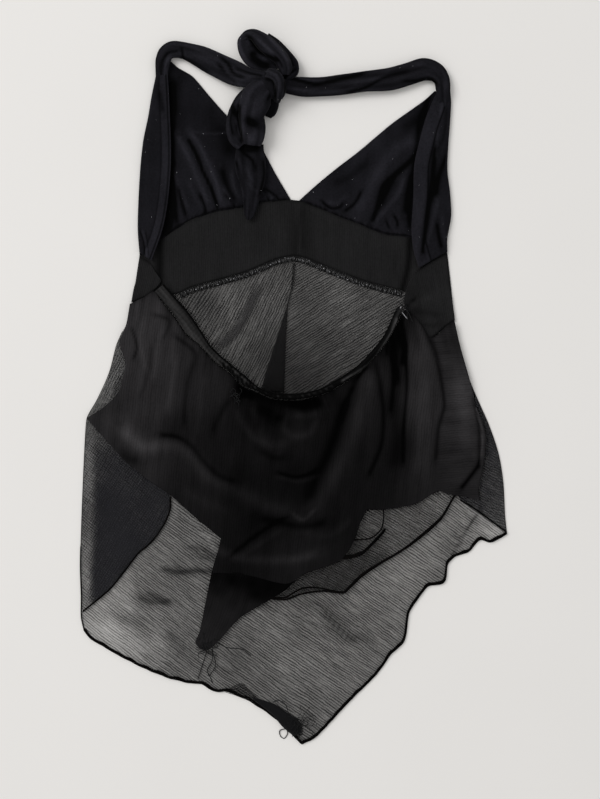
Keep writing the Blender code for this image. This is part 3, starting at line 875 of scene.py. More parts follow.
# ------------------------------------------------------------------------------ the garment
@dataclass
class FrontSkirt:
    """The sheer front with its band seam, its centre pleat and the corner of its hem turned up."""

    wardrobe: Wardrobe
    base: float = 0.15
    wall: float = 0.4
    clear: Table = (
        (-198, -268, 0.6), (-177, -281, 0.54), (-155, -291, 0.42), (-128, -300, 0.32), (-101, -306, 0.33),
        (-187, -230, 0.48), (-155, -230, 0.3), (-155, -257, 0.4), (-123, -252, 0.33), (-123, -198, 0.29),
        (-112, -166, 0.32), (-144, -187, 0.34), (-58, -274, 0.31), (-58, -306, 0.28), (-25, -263, 0.34),
        (7, -252, 0.3), (7, -295, 0.36), (7, -338, 0.31), (50, -252, 0.29), (50, -295, 0.34),
        (93, -230, 0.36), (93, -274, 0.34), (126, -203, 0.39), (147, -187, 0.42), (218, -154, 0.58),
        (206, -150, 0.46), (198, -162, 0.44), (185, -171, 0.42), (190, -146, 0.36), (174, -160, 0.36),
        (158, -198, 0.34), (190, -137, 0.38), (-222, -100, 0.5), (-222, -200, 0.5), (-200, -120, 0.3),
        (-195, 10, 0.36), (-205, -25, 0.43), (215, -90, 0.4), (200, -30, 0.34), (0, -100, 0.35))
    scoop_clear: Table = (
        (-90, 88, 0.19), (-58, 50, 0.24), (-69, 96, 0.27), (-36, 94, 0.25), (-42, 36, 0.17), (18, 94, 0.22),
        (50, 96, 0.28), (85, 84, 0.23), (18, 36, 0.165), (50, 40, 0.19), (74, 60, 0.23), (7, 8, 0.115),
        (-195, 20, 0.4), (-188, 42, 0.42), (-204, -5, 0.48), (-180, 20, 0.45), (-170, -10, 0.4),
        (180, 40, 0.45), (195, 0, 0.45), (203, -25, 0.36))
    folds: tuple[Fold, ...] = (
        Fold(1.2, 9, ((150, -182), (172, -172), (184, -160)), 0.3),
        Fold(1.0, 5, ((10, -232), (30, -236), (43, -254), (58, -269), (79, -272), (95, -290)), 0.3),
        Fold(0.8, 2.2, ((34, -241), (45, -256), (59, -271), (72, -272)), 0.5),
        Fold(0.8, 5, ((-60, -238), (-44, -234), (-20, -236)), 0.35),
        Fold(1.4, 4, ((-38, 106), (-53, 76), (-66, 56), (-82, 43)), 1.1),
        Fold(0.8, 2.4, ((-142, -196), (-124, -200), (-104, -198), (-82, -200)), 1.2),
        Fold(0.6, 3.0, ((-114, -172), (-98, -176), (-80, -184)), 0.7),
        Fold(0.6, 3.0, ((-104, -181), (-92, -186), (-78, -192)), 0.6),
        Fold(0.8, 3.0, ((-170, -226), (-152, -232), (-130, -231)), 0.7),
        Fold(0.6, 2.2, ((-158, -222), (-144, -228), (-134, -234)), 0.8),
        Fold(0.6, 7, ((-196, -245), (-178, -252), (-158, -260)), 0.4),
        Fold(0.8, 6, ((-138, -258), (-126, -276), (-112, -292)), 0.5),
        Fold(0.8, 7, ((-66, -300), (-60, -284), (-50, -270)), 0.3),
        Fold(0.6, 1.2, ((203, -124), (198, -137), (184, -159), (170, -183)), 0.9))
    pleat_clear: Table = ((-2, 130, 0.3), (-4, 105, 0.08), (-8, 61, 0.02), (-18, 40, 0.02), (-22, 0, 0.02))
    skirt_yarns: float = -35
    scoop_yarns: tuple[float, float] = (64, 32)

    def weave_of(self, xy: np.ndarray) -> np.ndarray:
        """Lay the yarns' run: falling to the right below, rising to each side from the pleat above.

        Args:
            xy: The net's points.

        Returns:
            The weave's place at each point, along and across the yarns.
        """
        low = turned(xy, self.skirt_yarns)
        west = np.clip(-90 - xy[..., 0], 0, None)
        low[..., 1] -= 0.0004 * west ** 2 + 1.6 * np.sin(xy[..., 0] / 31 + xy[..., 1] / 47)
        left = turned(xy, self.scoop_yarns[0])
        left[..., 1] -= 0.002 * np.clip(-45 - xy[..., 0], 0, 70) ** 2
        right = turned(xy, self.scoop_yarns[1])
        share = np.clip((xy[..., 1:] + 60) / 50, 0, 1)
        pleat = np.interp(xy[..., 1], (-20, 30, 118), (-30, -20, 0.5))
        above = np.where((xy[..., 0] < pleat)[..., None], left, right)
        return low * (1 - share) + above * share

    def main_net(self) -> Net:
        """Work out the skirt's own cloth.

        Returns:
            The net, from the band seam down to the hem.
        """
        panel = Panel((joined(BAND_LOW, (5, 56), (11, 56)), joined(FRONT_HEM, (13, 56), (28, 56)),
                       FRONT_LEFT, FRONT_RIGHT), 170, 112, self.base,
                      folds=self.folds,
                      unevenness=0.5, seed=11)
        net = panel.net()
        xy = net.points[..., :2]
        net.weave = self.weave_of(xy)
        share = np.clip((xy[..., 1] + 40) / 30, 0, 1)
        clear = blended(xy, self.clear) * (1 - share) + blended(xy, self.scoop_clear) * share
        shade = lift_of(xy, panel.folds)[1]
        net.veil = np.clip(surface_alpha(clear) + shade * 0.2, 0, 1)
        # the folds paint shade and highlight into the colour, strongly above the waist and faintly below
        net.shade = np.clip(1 + shade * np.where(xy[..., 1] > 0, 1.2, 0.2), 0.05, 4)
        return net

    def pleat_net(self) -> Net:
        """Work out the centre pleat.

        Returns:
            The net, which lies on the skirt under the band.
        """
        pleat = Panel((((-1, 134), (2, 134)), ((-36, -6), (-10, -6)),
                       ((-1, 134), (-2, 112), (-6, 92), (-15, 62), (-26, 28), (-36, -6)),
                       ((2, 134), (0, 112), (-6, 86), (-8.5, 46), (-10, -6))), 24, 6, self.base + 1.1,
                      grain=55, clear=self.pleat_clear,
                      unevenness=0.3, seed=12).net()
        pleat.shade *= np.interp(pleat.points[..., 1], (0, 100), (0.3, 0.8))
        return pleat

    def corner_net(self) -> Net:
        """Work out the corner of the hem that is turned up.

        Returns:
            The net, which lies on the skirt at its hem.
        """
        return Panel((((-74, -329), (-64, -322), (-55, -319), (-50, -324), (-39, -335), (-20, -344),
                       (-3, -354), (9, -364), (10, -375)),
                      ((-74, -329), (-47, -339), (-20, -357), (4, -378), (10, -375)),
                      ((-74, -329), (-74, -329.2)), ((10, -375), (10, -375.2))), 6, 24,
                     self.base + 1.0, grain=20, clear=((0, -350, 0.42), (-60, -330, 0.5)), seed=13).net()

    def hem_nets(self) -> list[Net]:
        """Work out the rolled hem, and the fine edges up both sides.

        Returns:
            The tubes' nets.
        """
        hem_line = joined(FRONT_HEM, (13, 90), (28, 100))
        height = 0.9 + ripple(hem_line, 14, 0.8)
        wobble = ripple(hem_line * 3.5, 16, 1.2)
        hem_line = hem_line + np.column_stack([np.zeros(len(hem_line)), wobble * 0.5])
        inward = hem_line + np.column_stack([-0.5 * np.sign(hem_line[:, 0] - 9), 0.9 + wobble])
        side_left = curve_of(FRONT_LEFT, 60)[45:]
        nets = [thread_net(np.column_stack([hem_line, height + 0.1]), 1.0, 420),
                thread_net(np.column_stack([inward, height + 0.3]), 0.95, 420),
                thread_net(np.column_stack([side_left, np.full(len(side_left), 0.9)]), 0.7, 60)]
        for rail, start in ((FRONT_LEFT, 8), (FRONT_RIGHT, 4)):
            edge = curve_of(rail, 90)[start:]
            nets.append(thread_net(np.column_stack([edge, np.full(len(edge), 1.0)]), 0.36, 150))
        return nets

    def build(self) -> list[bpy.types.Object]:
        """Build the front skirt with its hem and dress it.

        Returns:
            The skirt, its hem and the frayed strip.
        """
        nets = [self.main_net(), self.pleat_net(), self.corner_net()]
        piece = make_cloth("front_skirt_cloth", nets, self.wall)
        hem = make_cloth("front_skirt_rolled_hem", self.hem_nets())
        strip = Panel((((-45, -334), (-32, -338), (-20, -342), (-6, -352), (5, -359), (9, -369)),
                       ((-45, -334), (-39, -340), (-22, -354), (-12, -366), (2, -376), (9, -369)),
                       ((-45, -334), (-45, -334.2)), ((9, -369), (9, -369.2))), 5, 26, self.base + 2.0,
                      grain=-35, unevenness=0.9, seed=15)
        frayed = make_cloth("hem_frayed_strip", [strip.net()], 0.4)
        self.wardrobe.dress(piece, SHEER, "sheer_chiffon", ["front_skirt"])
        self.wardrobe.dress(hem, ROLLED, "sheer_chiffon")
        self.wardrobe.dress(frayed, FRAYED, "layered_chiffon")
        return [piece, hem, frayed]


@dataclass
class SidePanels:
    """The sheer side panels, folded from the sides onto the back."""

    wardrobe: Wardrobe
    base: float = 1.5
    wall: float = 0.4
    left_clear: Table = (
        (-200, -130, 0.12), (-200, -200, 0.13), (-180, -170, 0.1), (-160, -140, 0.2), (-195, -80, 0.22),
        (-175, -110, 0.24), (-150, -130, 0.2), (-208, -50, 0.5), (-195, 15, 0.5), (-205, -20, 0.52),
        (-186, 50, 0.5), (-150, 0, 0.4))
    right_clear: Table = (
        (205, -40, 0.28), (214, -70, 0.32), (220, -110, 0.38), (218, -140, 0.4), (194, -22, 0.26),
        (190, 0, 0.32), (180, -100, 0.35))
    left_strip_clear: tuple[float, float] = (0.68, 0.09)

    def build(self) -> list[bpy.types.Object]:
        """Build both panels with their edges and dress them.

        Returns:
            Each panel and its rolled hem.
        """
        left = Panel((FLAP_LEFT_TOP, FLAP_LEFT_HEM, FLAP_LEFT_SIDE, FLAP_LEFT_INNER), 90, 34, self.base,
                     grain=60, clear=self.left_clear, droop=((2, 0.9), (1, 0.8)), seed=21)
        right = Panel((FLAP_RIGHT_TOP, FLAP_RIGHT_HEM, FLAP_RIGHT_INNER, FLAP_RIGHT_SIDE), 60, 26, self.base,
                      grain=-20, clear=self.right_clear, droop=((3, 0.9), (1, 0.8)), seed=22)
        pieces = []
        for name, panel, size, area, hem in (
                ("side_panel_left", left, (110, 315), 0.0262, FLAP_LEFT_HEM),
                ("side_panel_right", right, (82, 205), 0.0118, FLAP_RIGHT_HEM)):
            net, side = panel.net(), curve_of(panel.rails[2 if name.endswith("left") else 3], 60)
            if name.endswith("left"):
                xy = net.points[..., :2]
                strip = 9 + 6 * np.exp(-((xy[..., 1] + 150) / 60) ** 2)
                far = np.clip((reach_to(xy, side) - strip) / 8 + 0.5, 0, 1)
                low = np.clip((-150 - xy[..., 1]) / 60, 0, 1)
                strip_clear = self.left_strip_clear[0] + self.left_strip_clear[1] * low
                net.veil = surface_alpha(strip_clear) * (1 - far) + net.veil * far
            piece = make_cloth(name + "_cloth", [net], self.wall)
            line = curve_of(hem, 60)
            height = np.full(61, self.base - 0.1) + ripple(line * 3, 23, 0.8)
            edge = make_cloth(name + "_rolled_hem",
                              [thread_net(np.column_stack([line, height]), 0.9, 120)])
            self.wardrobe.dress(piece, DOUBLED, "sheer_chiffon",
                                ["side_flap_" + name.rsplit("_", 1)[1]])
            self.wardrobe.dress(edge, ROLLED, "sheer_chiffon")
            pieces += [piece, edge]
        return pieces


@dataclass
class BackOverlay:
    """The sheer overlay under the opaque back, with its rolled hems."""

    wardrobe: Wardrobe
    base: float = 2.9
    wall: float = 0.4
    clear: Table = (
        (115, -155, 0.72), (137, -140, 0.66), (162, -128, 0.86), (90, -145, 0.64), (72, -188, 0.42),
        (40, -203, 0.42), (10, -215, 0.5), (195, -70, 0.4), (150, -60, 0.5))

    def build(self) -> list[bpy.types.Object]:
        """Build the overlay and its three hems.

        Returns:
            The overlay and its hems.
        """
        panel = Panel((OVERLAY_TOP, OVERLAY_HEM, OVERLAY_LEFT, OVERLAY_RIGHT), 50, 80, self.base, grain=-25,
                      clear=self.clear, droop=((1, 0.9),), seed=31)
        piece = make_cloth("back_overlay_cloth", [panel.net()], self.wall)
        low = curve_of(OVERLAY_HEM, 140)
        part = np.linspace(0, 1, 141)
        thick = 0.7 + 0.4 * np.sin(part * 23) * (0.3 + 0.7 * part)
        thick = thick + 2.2 * np.exp(-((part - 0.13) / 0.06) ** 2)
        line = np.column_stack([low, np.full(141, self.base + 0.1)])
        nets = [thread_net(line, 0.95, 280), thread_net(line + np.column_stack(
            [-thick * 0.6, thick * 1.9, np.full(141, 0.3)]), 0.9, 280)]
        upper = curve_of(UPPER_HEM, 40)
        nets.append(thread_net(np.column_stack([upper, np.full(41, self.base + 0.9)]), 0.75, 80))
        middle = curve_of(MIDDLE_HEM, 50)
        for shift in (0.0, 1.3, 2.5):
            nets.append(thread_net(np.column_stack([middle[:, 0] + shift * 0.3, middle[:, 1] + shift,
                                                    np.full(51, self.base + 0.9)]), 1.0, 100))
        hems = make_cloth("back_overlay_rolled_hems", nets)
        self.wardrobe.dress(piece, SHEER, "sheer_chiffon", ["back_overlay"])
        self.wardrobe.dress(hems, ROLLED, "sheer_chiffon")
        return [piece, hems]


@dataclass
class OpaqueBack:
    """The layered back skirt, gathered to the casing, and the pointed lining under it."""

    wardrobe: Wardrobe
    base: float = 5.7
    wall: float = 0.6
    folds: tuple[Fold, ...] = (
        Fold(4.0, 8, ((-187, -39), (-173, -56), (-158, -66), (-139, -63), (-119, -66), (-107, -76),
                      (-92, -95), (-71, -107), (-46, -119), (-27, -129), (5, -136)), 0.7),
        Fold(-1.4, 3.4, ((-146, -52), (-126, -54), (-110, -64), (-97, -80), (-80, -96), (-60, -103)), -0.6),
        Fold(-0.9, 7, ((-189, -62), (-177, -78), (-158, -76)), -0.4),
        Fold(-0.5, 1.6, ((-174, 64), (-168, 43), (-172, 29)), -0.45),
        Fold(-0.4, 2.4, ((-152, 78), (-133, 71), (-141, 50)), -0.3),
        Fold(0.8, 2.6, ((-140, 64), (-146, 40), (-150, 6)), 0.25),
        Fold(0.8, 2.4, ((-160, 72), (-164, 48), (-158, 18)), 0.25),
        Fold(-0.6, 2.4, ((-152, 44), (-156, 14), (-166, -14)), -0.2),
        Fold(0.7, 3, ((-126, 30), (-130, 0), (-136, -26)), 0.2),
        Fold(-0.9, 3, ((-129, 56), (-105, 36), (-109, 19), (-114, 2), (-117, -22), (-117, -43)), -0.35),
        Fold(-1.0, 3.4, ((-68, -12), (-80, -32), (-88, -52)), -0.35),
        Fold(1.2, 9, ((-95, 24), (-97, -4), (-98, -40)), 0.2),
        Fold(1.6, 4, ((-61, -22), (-56, -36), (-40, -56), (-16, -68)), 0.45),
        Fold(1.6, 5, ((-38, -40), (-30, -56), (-12, -62), (2, -54)), 0.3),
        Fold(1.4, 4, ((-7, -28), (-10, -43), (0, -53), (18, -50), (26, -32)), 0.5),
        Fold(-1.6, 7, ((-42, -16), (-30, -26), (-14, -34)), -0.55),
        Fold(-1.6, 6, ((0, -20), (18, -20), (36, -16)), -0.5),
        Fold(-1.0, 3, ((-60, -14), (-52, -9), (-42, -12)), -0.5),
        Fold(-1.0, 4, ((-22, -38), (-14, -34), (-8, -40)), -0.45),
        Fold(-1.0, 3.4, ((104, 62), (108, 30), (111, 6)), -0.6),
        Fold(-0.8, 3, ((66, 4), (58, -14), (50, -36)), -0.5),
        Fold(-1.2, 4, ((-38, -66), (-22, -76), (-4, -76)), -0.3),
        Fold(-1.0, 2.2, ((-18, -92), (4, -97), (27, -90)), -0.5),
        Fold(0.8, 2.2, ((-16, -97), (6, -102), (26, -96)), 0.45),
        Fold(-1.6, 7, ((60, -8), (48, -43), (36, -75), (24, -99), (15, -130)), -0.55),
        Fold(3.4, 9, ((84, 20), (78, -8), (64, -56), (48, -90), (26, -126), (14, -141)), 0.7),
        Fold(-1.0, 3, ((88, 30), (96, -20), (95, -60), (80, -98)), -0.5),
        Fold(-1.4, 8, ((112, 66), (114, 20), (109, -20), (112, -60), (106, -96)), -0.36),
        Fold(-0.8, 3, ((104, 40), (107, 8), (104, -30)), -0.3),
        Fold(-0.6, 2.8, ((117, 76), (114, 60), (119, 46)), -0.95),
        Fold(-0.6, 2.4, ((114, 58), (120, 44), (118, 26)), -0.9),
        Fold(-0.4, 1.4, ((103, 58), (107, 46), (109, 32)), -0.7),
        Fold(-0.4, 1.6, ((92, 40), (99, 48), (100, 34)), -0.6),
        Fold(-0.5, 3, ((-61, 4), (-54, -5), (-46, -8)), -0.85),
        Fold(-0.5, 3, ((-4, -18), (10, -20), (26, -17)), -0.9),
        Fold(-0.5, 2.6, ((66, 6), (74, 16), (82, 24)), -0.75),
        Fold(0.8, 3, ((-44, -19), (-40, -36)), 0.7),
        Fold(0.8, 3.6, ((-2, -30), (14, -31), (28, -28)), 0.7),
        Fold(-0.8, 2.4, ((118, 66), (121, 36), (122, 0), (119, -40), (118, -84)), -0.5),
        Fold(3.4, 11, ((134, 50), (138, -2), (138, -60), (134, -104)), 0.3),
        Fold(-1.0, 2.6, ((146, 53), (153, 36), (158, 12), (161, -7), (162, -22), (156, -44),
                         (153, -81)), -0.45),
        Fold(2.6, 9, ((176, 36), (184, -20), (188, -76)), 0.25),
        Fold(-0.8, 3, ((202, -80), (192, -94), (178, -112)), -0.6),
        Fold(-0.6, 2.4, ((192, -10), (199, -40), (200, -84)), -0.45),
        Fold(0.6, 1.2, ((197, -22), (203, -50), (202, -84)), 0.7),
        Fold(2.2, 5, ((-100, -166), (-60, -184), (0, -186), (30, -178)), 0.6),
        Fold(-0.6, 2.4, ((-70, -184), (-46, -164), (-18, -145), (-4, -138)), -0.6),
        Fold(1.0, 3, ((-62, -186), (-40, -171), (-12, -153)), 0.4),
        Fold(2.0, 6, ((-120, -108), (-96, -124), (-60, -138)), 0.2),
        Fold(1.2, 1.8, ((-1, -135), (10, -143), (23, -132)), 0.9),
        Fold(-0.5, 5, ((-40, -140), (-10, -146), (10, -150), (40, -144)), -0.5),
        Fold(1.6, 4, ((4, -154), (40, -160), (66, -140)), 0.25))
    # how light the back is: lighter at the sides where sheer layers show through; the dark marks just below
    # the casing are painted shadow
    shades: Table = (
        (-155, 29, 1.9), (-144, -14, 1.6), (-187, -47, 1.5), (-123, -47, 0.6), (-79, -68, 0.5),
        (-36, -68, 0.45), (7, -47, 0.5), (50, -58, 0.35), (7, -101, 0.25), (-36, -144, 0.25),
        (50, -144, 0.4), (83, -101, 0.4), (-58, -101, 0.25), (-101, -122, 0.6), (7, -187, 0.65),
        (-58, -187, 0.35), (-88, -230, 0.5), (185, -14, 2.4), (190, -58, 1.5), (180, -79, 1.2),
        (147, -79, 1.0), (164, -36, 1.5), (137, -14, 1.4), (115, -68, 0.35), (158, 40, 1.3), (137, 40, 1.4),
        (-175, -70, 1.5), (-52, -10, 0.3), (-32, -28, 0.2), (-14, -26, 0.25), (16, -22, 0.25),
        (40, -14, 0.35), (95, -20, 0.6), (-80, 0, 0.9), (-168, 60, 2.0), (110, 50, 0.2))
    # the dark band along the lining's top, where the back's edge lies over it, is painted shadow fading
    # towards the tip
    lining_shades: Table = (
        (-95, -262, 0.95), (-86, -205, 0.15), (-66, -207, 0.05), (-46, -210, 0.05), (-26, -212, 0.06),
        (-40, -222, 0.08), (-16, -214, 0.08), (-80, -216, 0.3), (-86, -232, 0.75), (-64, -228, 0.5),
        (-70, -246, 0.9), (-46, -238, 0.8), (-90, -278, 1.4), (-60, -190, 0.4), (0, -190, 0.6))
    side_seam: Table = ((-81, 153), (-44, 156), (-20, 162), (12, 158), (54, 146))
    side_yarns: float = 4

    def skirt_net(self) -> Net:
        """Work out the back skirt, with its small gathers along the casing.

        Returns:
            The net, from the casing down to the hem.
        """
        top = joined(BACK_TOP, (11, 66), (14, 51), (27, 66))
        low = joined(BACK_HEM, (6, 66), (8, 12), (16, 39), (23, 66))
        top[:, 1] += 2.4 * np.clip((np.abs(top[:, 0] + 1) - 144) / 5, 0, 1)
        left, right = [(tuple(end), *rail[1:]) for end, rail in ((top[0], BACK_LEFT), (top[-1], BACK_RIGHT))]
        panel = Panel((top, low, left, right), 120, 183, self.base, folds=self.folds, grain=84,
                      shades=self.shades, droop=((2, 2.2), (1, 1.3), (3, 1.2)), unevenness=1.0, seed=41)
        net = panel.net()
        seam_y, seam_x = zip(*self.side_seam)
        beyond = net.points[..., 0] > np.interp(net.points[..., 1], seam_y, seam_x)
        net.weave = np.where(beyond[..., None], turned(net.points[..., :2], self.side_yarns), net.weave)
        gathers = np.linspace(0, 1, net.points.shape[1])
        pucker = 0.6 * np.sin(gathers * 230 + 5 * np.sin(gathers * 31)) + 0.6 * np.sin(gathers * 113)
        fade = np.exp(-np.linspace(0, 1, net.points.shape[0]) * 9)[:, None]
        net.points[..., 2] += np.clip(pucker, -0.4, 1.2)[None] * fade
        # the gathers are painted lighter on their crests and darker between; a painted shadow runs along the
        # casing seam and a wider one under the casing's middle
        net.shade *= 1 + 0.35 * pucker[None] * fade
        net.shade *= 1 - 0.5 * np.exp(-reach_to(net.points[..., :2], top) / 2.5)
        under = curve_of(((-58, -2), (-38, -9), (-22, -15), (0, -17), (22, -14)), 20)
        net.shade *= 1 - 0.8 * np.exp(-(reach_to(net.points[..., :2], under) / 6.5) ** 2)
        return net

    def build(self) -> list[bpy.types.Object]:
        """Build the back skirt and the lining point and dress them.

        Returns:
            The skirt and the point.
        """
        back = make_cloth("back_skirt_cloth", [self.skirt_net()], self.wall)
        point = Panel((LINING_TOP, LINING_TIP, LINING_LEFT, LINING_RIGHT), 60, 26, 4.3, grain=70,
                      shades=self.lining_shades,
                      droop=((1, 1.6), (2, 1.2), (3, 1.2)), seed=42)
        lining = make_cloth("lining_point_cloth", [point.net()], self.wall)
        self.wardrobe.dress(back, LAYERED, "layered_chiffon", ["back_skirt"])
        self.wardrobe.dress(lining, LAYERED, "layered_chiffon", ["lining_point"])
        return [back, lining]


@dataclass
class Waist:
    """The underbust band with its turned ends, its overlocked seam and the elastic casing."""

    wardrobe: Wardrobe
    band_folds: tuple[Fold, ...] = (
        Fold(-0.4, 1.5, ((0, 200), (1, 170), (1, 143)), -0.4),
        Fold(0.4, 1.6, ((5, 199), (6, 170), (6, 143)), 0.25),
        Fold(-0.3, 5, ((-142, 176), (-144, 150), (-145, 104)), -0.62),
        Fold(-0.3, 3.5, ((126, 172), (124, 132), (116, 100)), -0.62),
        Fold(-0.3, 9, ((112, 158), (110, 130), (104, 108)), -0.1),
        Fold(-0.2, 12, ((7, 210), (8, 170), (8, 130)), -0.33))
    right_end_folds: tuple[Fold, ...] = (
        Fold(-0.4, 1.1, ((117, 83), (124, 89), (131, 95)), -0.8),
        Fold(-0.3, 5, ((126, 86), (136, 78)), -0.3),
        Fold(0.4, 3, ((124, 84), (136, 92), (152, 98)), 0.25),
        Fold(-0.4, 3.4, ((128, 80), (144, 80), (160, 76)), -0.25),
        Fold(-0.4, 2.2, ((138, 68), (150, 66), (162, 70)), -0.3))
    # two painted glints at the casing's end
    bright_ends: tuple[Table, ...] = (
        ((115.4, 85.8, 9.4), (115.0, 85.0, 9.6), (114.6, 84.2, 9.4)),
        ((116.2, 80.5, 9.2), (119.0, 76.6, 9.6), (122.2, 72.7, 9.2)))
    glint_share: float = 0.62
    casing_steps: int = 420
    casing_height: float = 6.4

    def band(self) -> list[bpy.types.Object]:
        """Build the band across the front and its two ends on the back.

        Returns:
            The band and its ends.
        """
        top = np.vstack([curve_of(BAND_TOP_LEFT, 56), curve_of(BAND_TOP_RIGHT, 55)])
        front = Panel((top, joined(BAND_LOW, (5, 56), (11, 56)), ((-166, 143), (-174, 90)),
                       ((166, 145), (174, 71))), 30, 112, 0.2, grain=90, unevenness=0.5, seed=51,
                      folds=self.band_folds,
                      edge_shadow=((0, 0.7, 1.6), (1, 0.5, 1.6)))
        piece = make_cloth("front_band_cloth", [front.net()], 0.8)
        self.wardrobe.dress(piece, CREPE, "crepe_band", ["front_band"])
        pieces = [piece]
        for side, rails, size in ((Side.LEFT, SIDE_LEFT, (34, 48)), (Side.RIGHT, SIDE_RIGHT, (50, 84))):
            name = f"side_band_{side.name.lower()}"
            folds = () if side is Side.LEFT else self.right_end_folds
            yarns = 78 if side is Side.LEFT else 100
            panel = Panel(rails, 26, 20, 1.7, grain=yarns, unevenness=0.6, folds=folds,
                          shades=((0, 0, 1.0), (150, 90, 1.15), (128, 96, 0.7)), seed=52,
                          edge_shadow=((0, 0.6, 2.2), (1, 0.5, 1.6)))
            end = make_cloth(name + "_cloth", [panel.net()], 0.8)
            self.wardrobe.dress(end, CREPE, "crepe_band", [name])
            pieces.append(end)
        return pieces

    def overlock(self) -> list[bpy.types.Object]:
        """Build the seam allowance under the band with its shining overlock stitches.

        Returns:
            The allowance, the stitches and their glints.
        """
        inside = curve_of(BAND_LOW[1:10], 220)[1:-1]
        run = np.gradient(inside, axis=0)
        run /= np.linalg.norm(run, axis=1, keepdims=True)
        down = np.stack([run[:, 1], -run[:, 0]], axis=1)
        strip = Panel((inside + down * 0.3, inside + down * 6.5,
                       tuple(map(tuple, (inside[0] + down[0] * 0.3, inside[0] + down[0] * 6.5))),
                       tuple(map(tuple, (inside[-1] + down[-1] * 0.3, inside[-1] + down[-1] * 6.5)))),
                      5, len(inside) - 1, 0.9, grain=90, unevenness=0.6, shades=((0, 0, 0.5),), seed=53)
        allowance = make_cloth("seam_allowance", [strip.net()], 0.4)
        draw = np.random.default_rng(54)
        nets = []
        for i in range(2, len(inside) - 2):
            a, b = inside[i] + down[i] * draw.uniform(0.6, 2.4), inside[i] + down[i] * draw.uniform(4.4, 7.4)
            b = b + run[i] * draw.uniform(-2.2, 2.2)
            rows = [(*a, 1.5), (*((a + b) / 2 + run[i] * draw.uniform(-0.8, 0.8)), 2.3), (*b, 1.2)]
            nets.append(thread_net(rows, 0.26, 4, 4))
        stitches = make_cloth("overlock_stitches", nets)
        glints = []
        for i in range(4, len(inside) - 4, 3):
            if draw.uniform() < self.glint_share:
                spot = inside[i] + down[i] * draw.uniform(1.0, 6.4)
                rows = [(*spot, 2.3), (*(spot + run[i] * 0.5 + down[i] * 0.3), 2.6), (*(spot + run[i]), 2.3)]
                glints.append(thread_net(rows, 0.3, 3, 4))
        for rows in self.bright_ends:
            glints.append(thread_net(rows, 0.36, 6, 4))
        shine = make_cloth("overlock_glints", glints)
        self.wardrobe.dress(allowance, CREPE, "crepe_band")
        self.wardrobe.dress(stitches, OVERLOCK, "crepe_band")
        self.wardrobe.dress(shine, GLINT, "crepe_band")
        return [allowance, stitches, shine]

    def casing(self) -> bpy.types.Object:
        """Build the ruched elastic casing along the low back edge.

        Returns:
            The casing.
        """
        steps = self.casing_steps
        outer, inner = curve_of(CASING_OUT, steps), curve_of(CASING_IN, steps)
        middle, way = (outer + inner) / 2, inner - outer
        width = np.maximum(np.linalg.norm(way, axis=1) - 0.8, 3.4)
        heading = np.degrees(np.unwrap(np.arctan2(way[:, 1], way[:, 0])))
        height, level = np.full(steps + 1, self.casing_height), np.zeros(steps + 1)
        thick = np.interp(np.linspace(0, 1, steps + 1), (0, 0.3, 1), (3.6, 4.4, 4.6))
        rows = np.column_stack([middle, height, heading, level, width, thick])
        # the notches are shallow troughs painted dark as their shade
        notches = tuple(Fold(-1.2, 1.1, (tuple(inner[i]), tuple(middle[i + 4])), -0.7)
                        for i in range(138, 250, 16))
        notches += tuple(Fold(-1.4, 1.3, (tuple(outer[i]), tuple(middle[i - 6])), -1.1)
                         for i in range(134, 300, 8))
        # painted shade along both edges and a painted highlight on the cord at the right; the right part and
        # the middle are darker
        tube = Band(rows, steps, ring=18, pleats=1, depth=0.15, ruche=1.0, seed=55,
                    folds=(Fold(-0.6, 1.3, CASING_IN, -0.6), Fold(-0.6, 1.2, CASING_OUT[8:], -0.6),
                           Fold(-0.3, 8, ((36, 0), (60, 12), (90, 38), (110, 72)), -0.7),
                           Fold(0.5, 1.2, ((52, 6), (75, 20.4), (90, 36), (104, 56.5), (111, 73)), 1.5),
                           Fold(-0.3, 9, ((-44, 0), (0, -12), (44, 0)), -0.2)) + notches)
        # a near-black thread along the inner edge stands for the shadow there
        rim = thread_net(np.column_stack([inner, np.full(steps + 1, 6.6)]), 0.9, steps)
        rim.shade *= 0.05
        piece = make_cloth("elastic_casing_cloth", [tube.net(), rim])
        self.wardrobe.dress(piece, CASING, "elastic_casing", ["elastic_casing"])
        return piece

    def build(self) -> list[bpy.types.Object]:
        """Build the whole waist.

        Returns:
            Its pieces, from the front band to the casing.
        """
        return [*self.band(), *self.overlock(), self.casing()]


@dataclass(frozen=True)
class ThreadShine:
    """The pale glint of a shiny thread."""

    # the glint is painted: pale patches in the thread's base colour
    name: str = "thread_glint"
    colour: tuple[float, float, float, float] = (0.45, 0.45, 0.47, 1)
    dull: tuple[float, float, float, float] = (0.06, 0.06, 0.065, 1)
    patch_scale: float = 300.0
    roughness: float = 0.3

    def material(self) -> bpy.types.Material:
        """Build the finish's material.

        Returns:
            The material.
        """
        made = bpy.data.materials.new(self.name)
        made.use_nodes = True
        kit, surface = NodeKit(made.node_tree), made.node_tree.nodes["Principled BSDF"]
        place = kit.add("TexCoord").outputs["Object"]
        ramp = kit.add("ValToRGB")
        kit.feed(kit.noise(place, self.patch_scale, 1.0), ramp.inputs[0])
        ramp.color_ramp.elements[0].position, ramp.color_ramp.elements[1].position = 0.4, 0.6
        ramp.color_ramp.elements[0].color = self.dull
        ramp.color_ramp.elements[1].color = self.colour
        kit.feed(ramp.outputs[0], surface.inputs["Base Color"])
        surface.inputs["Roughness"].default_value = self.roughness
        return made


GLINT = ThreadShine()


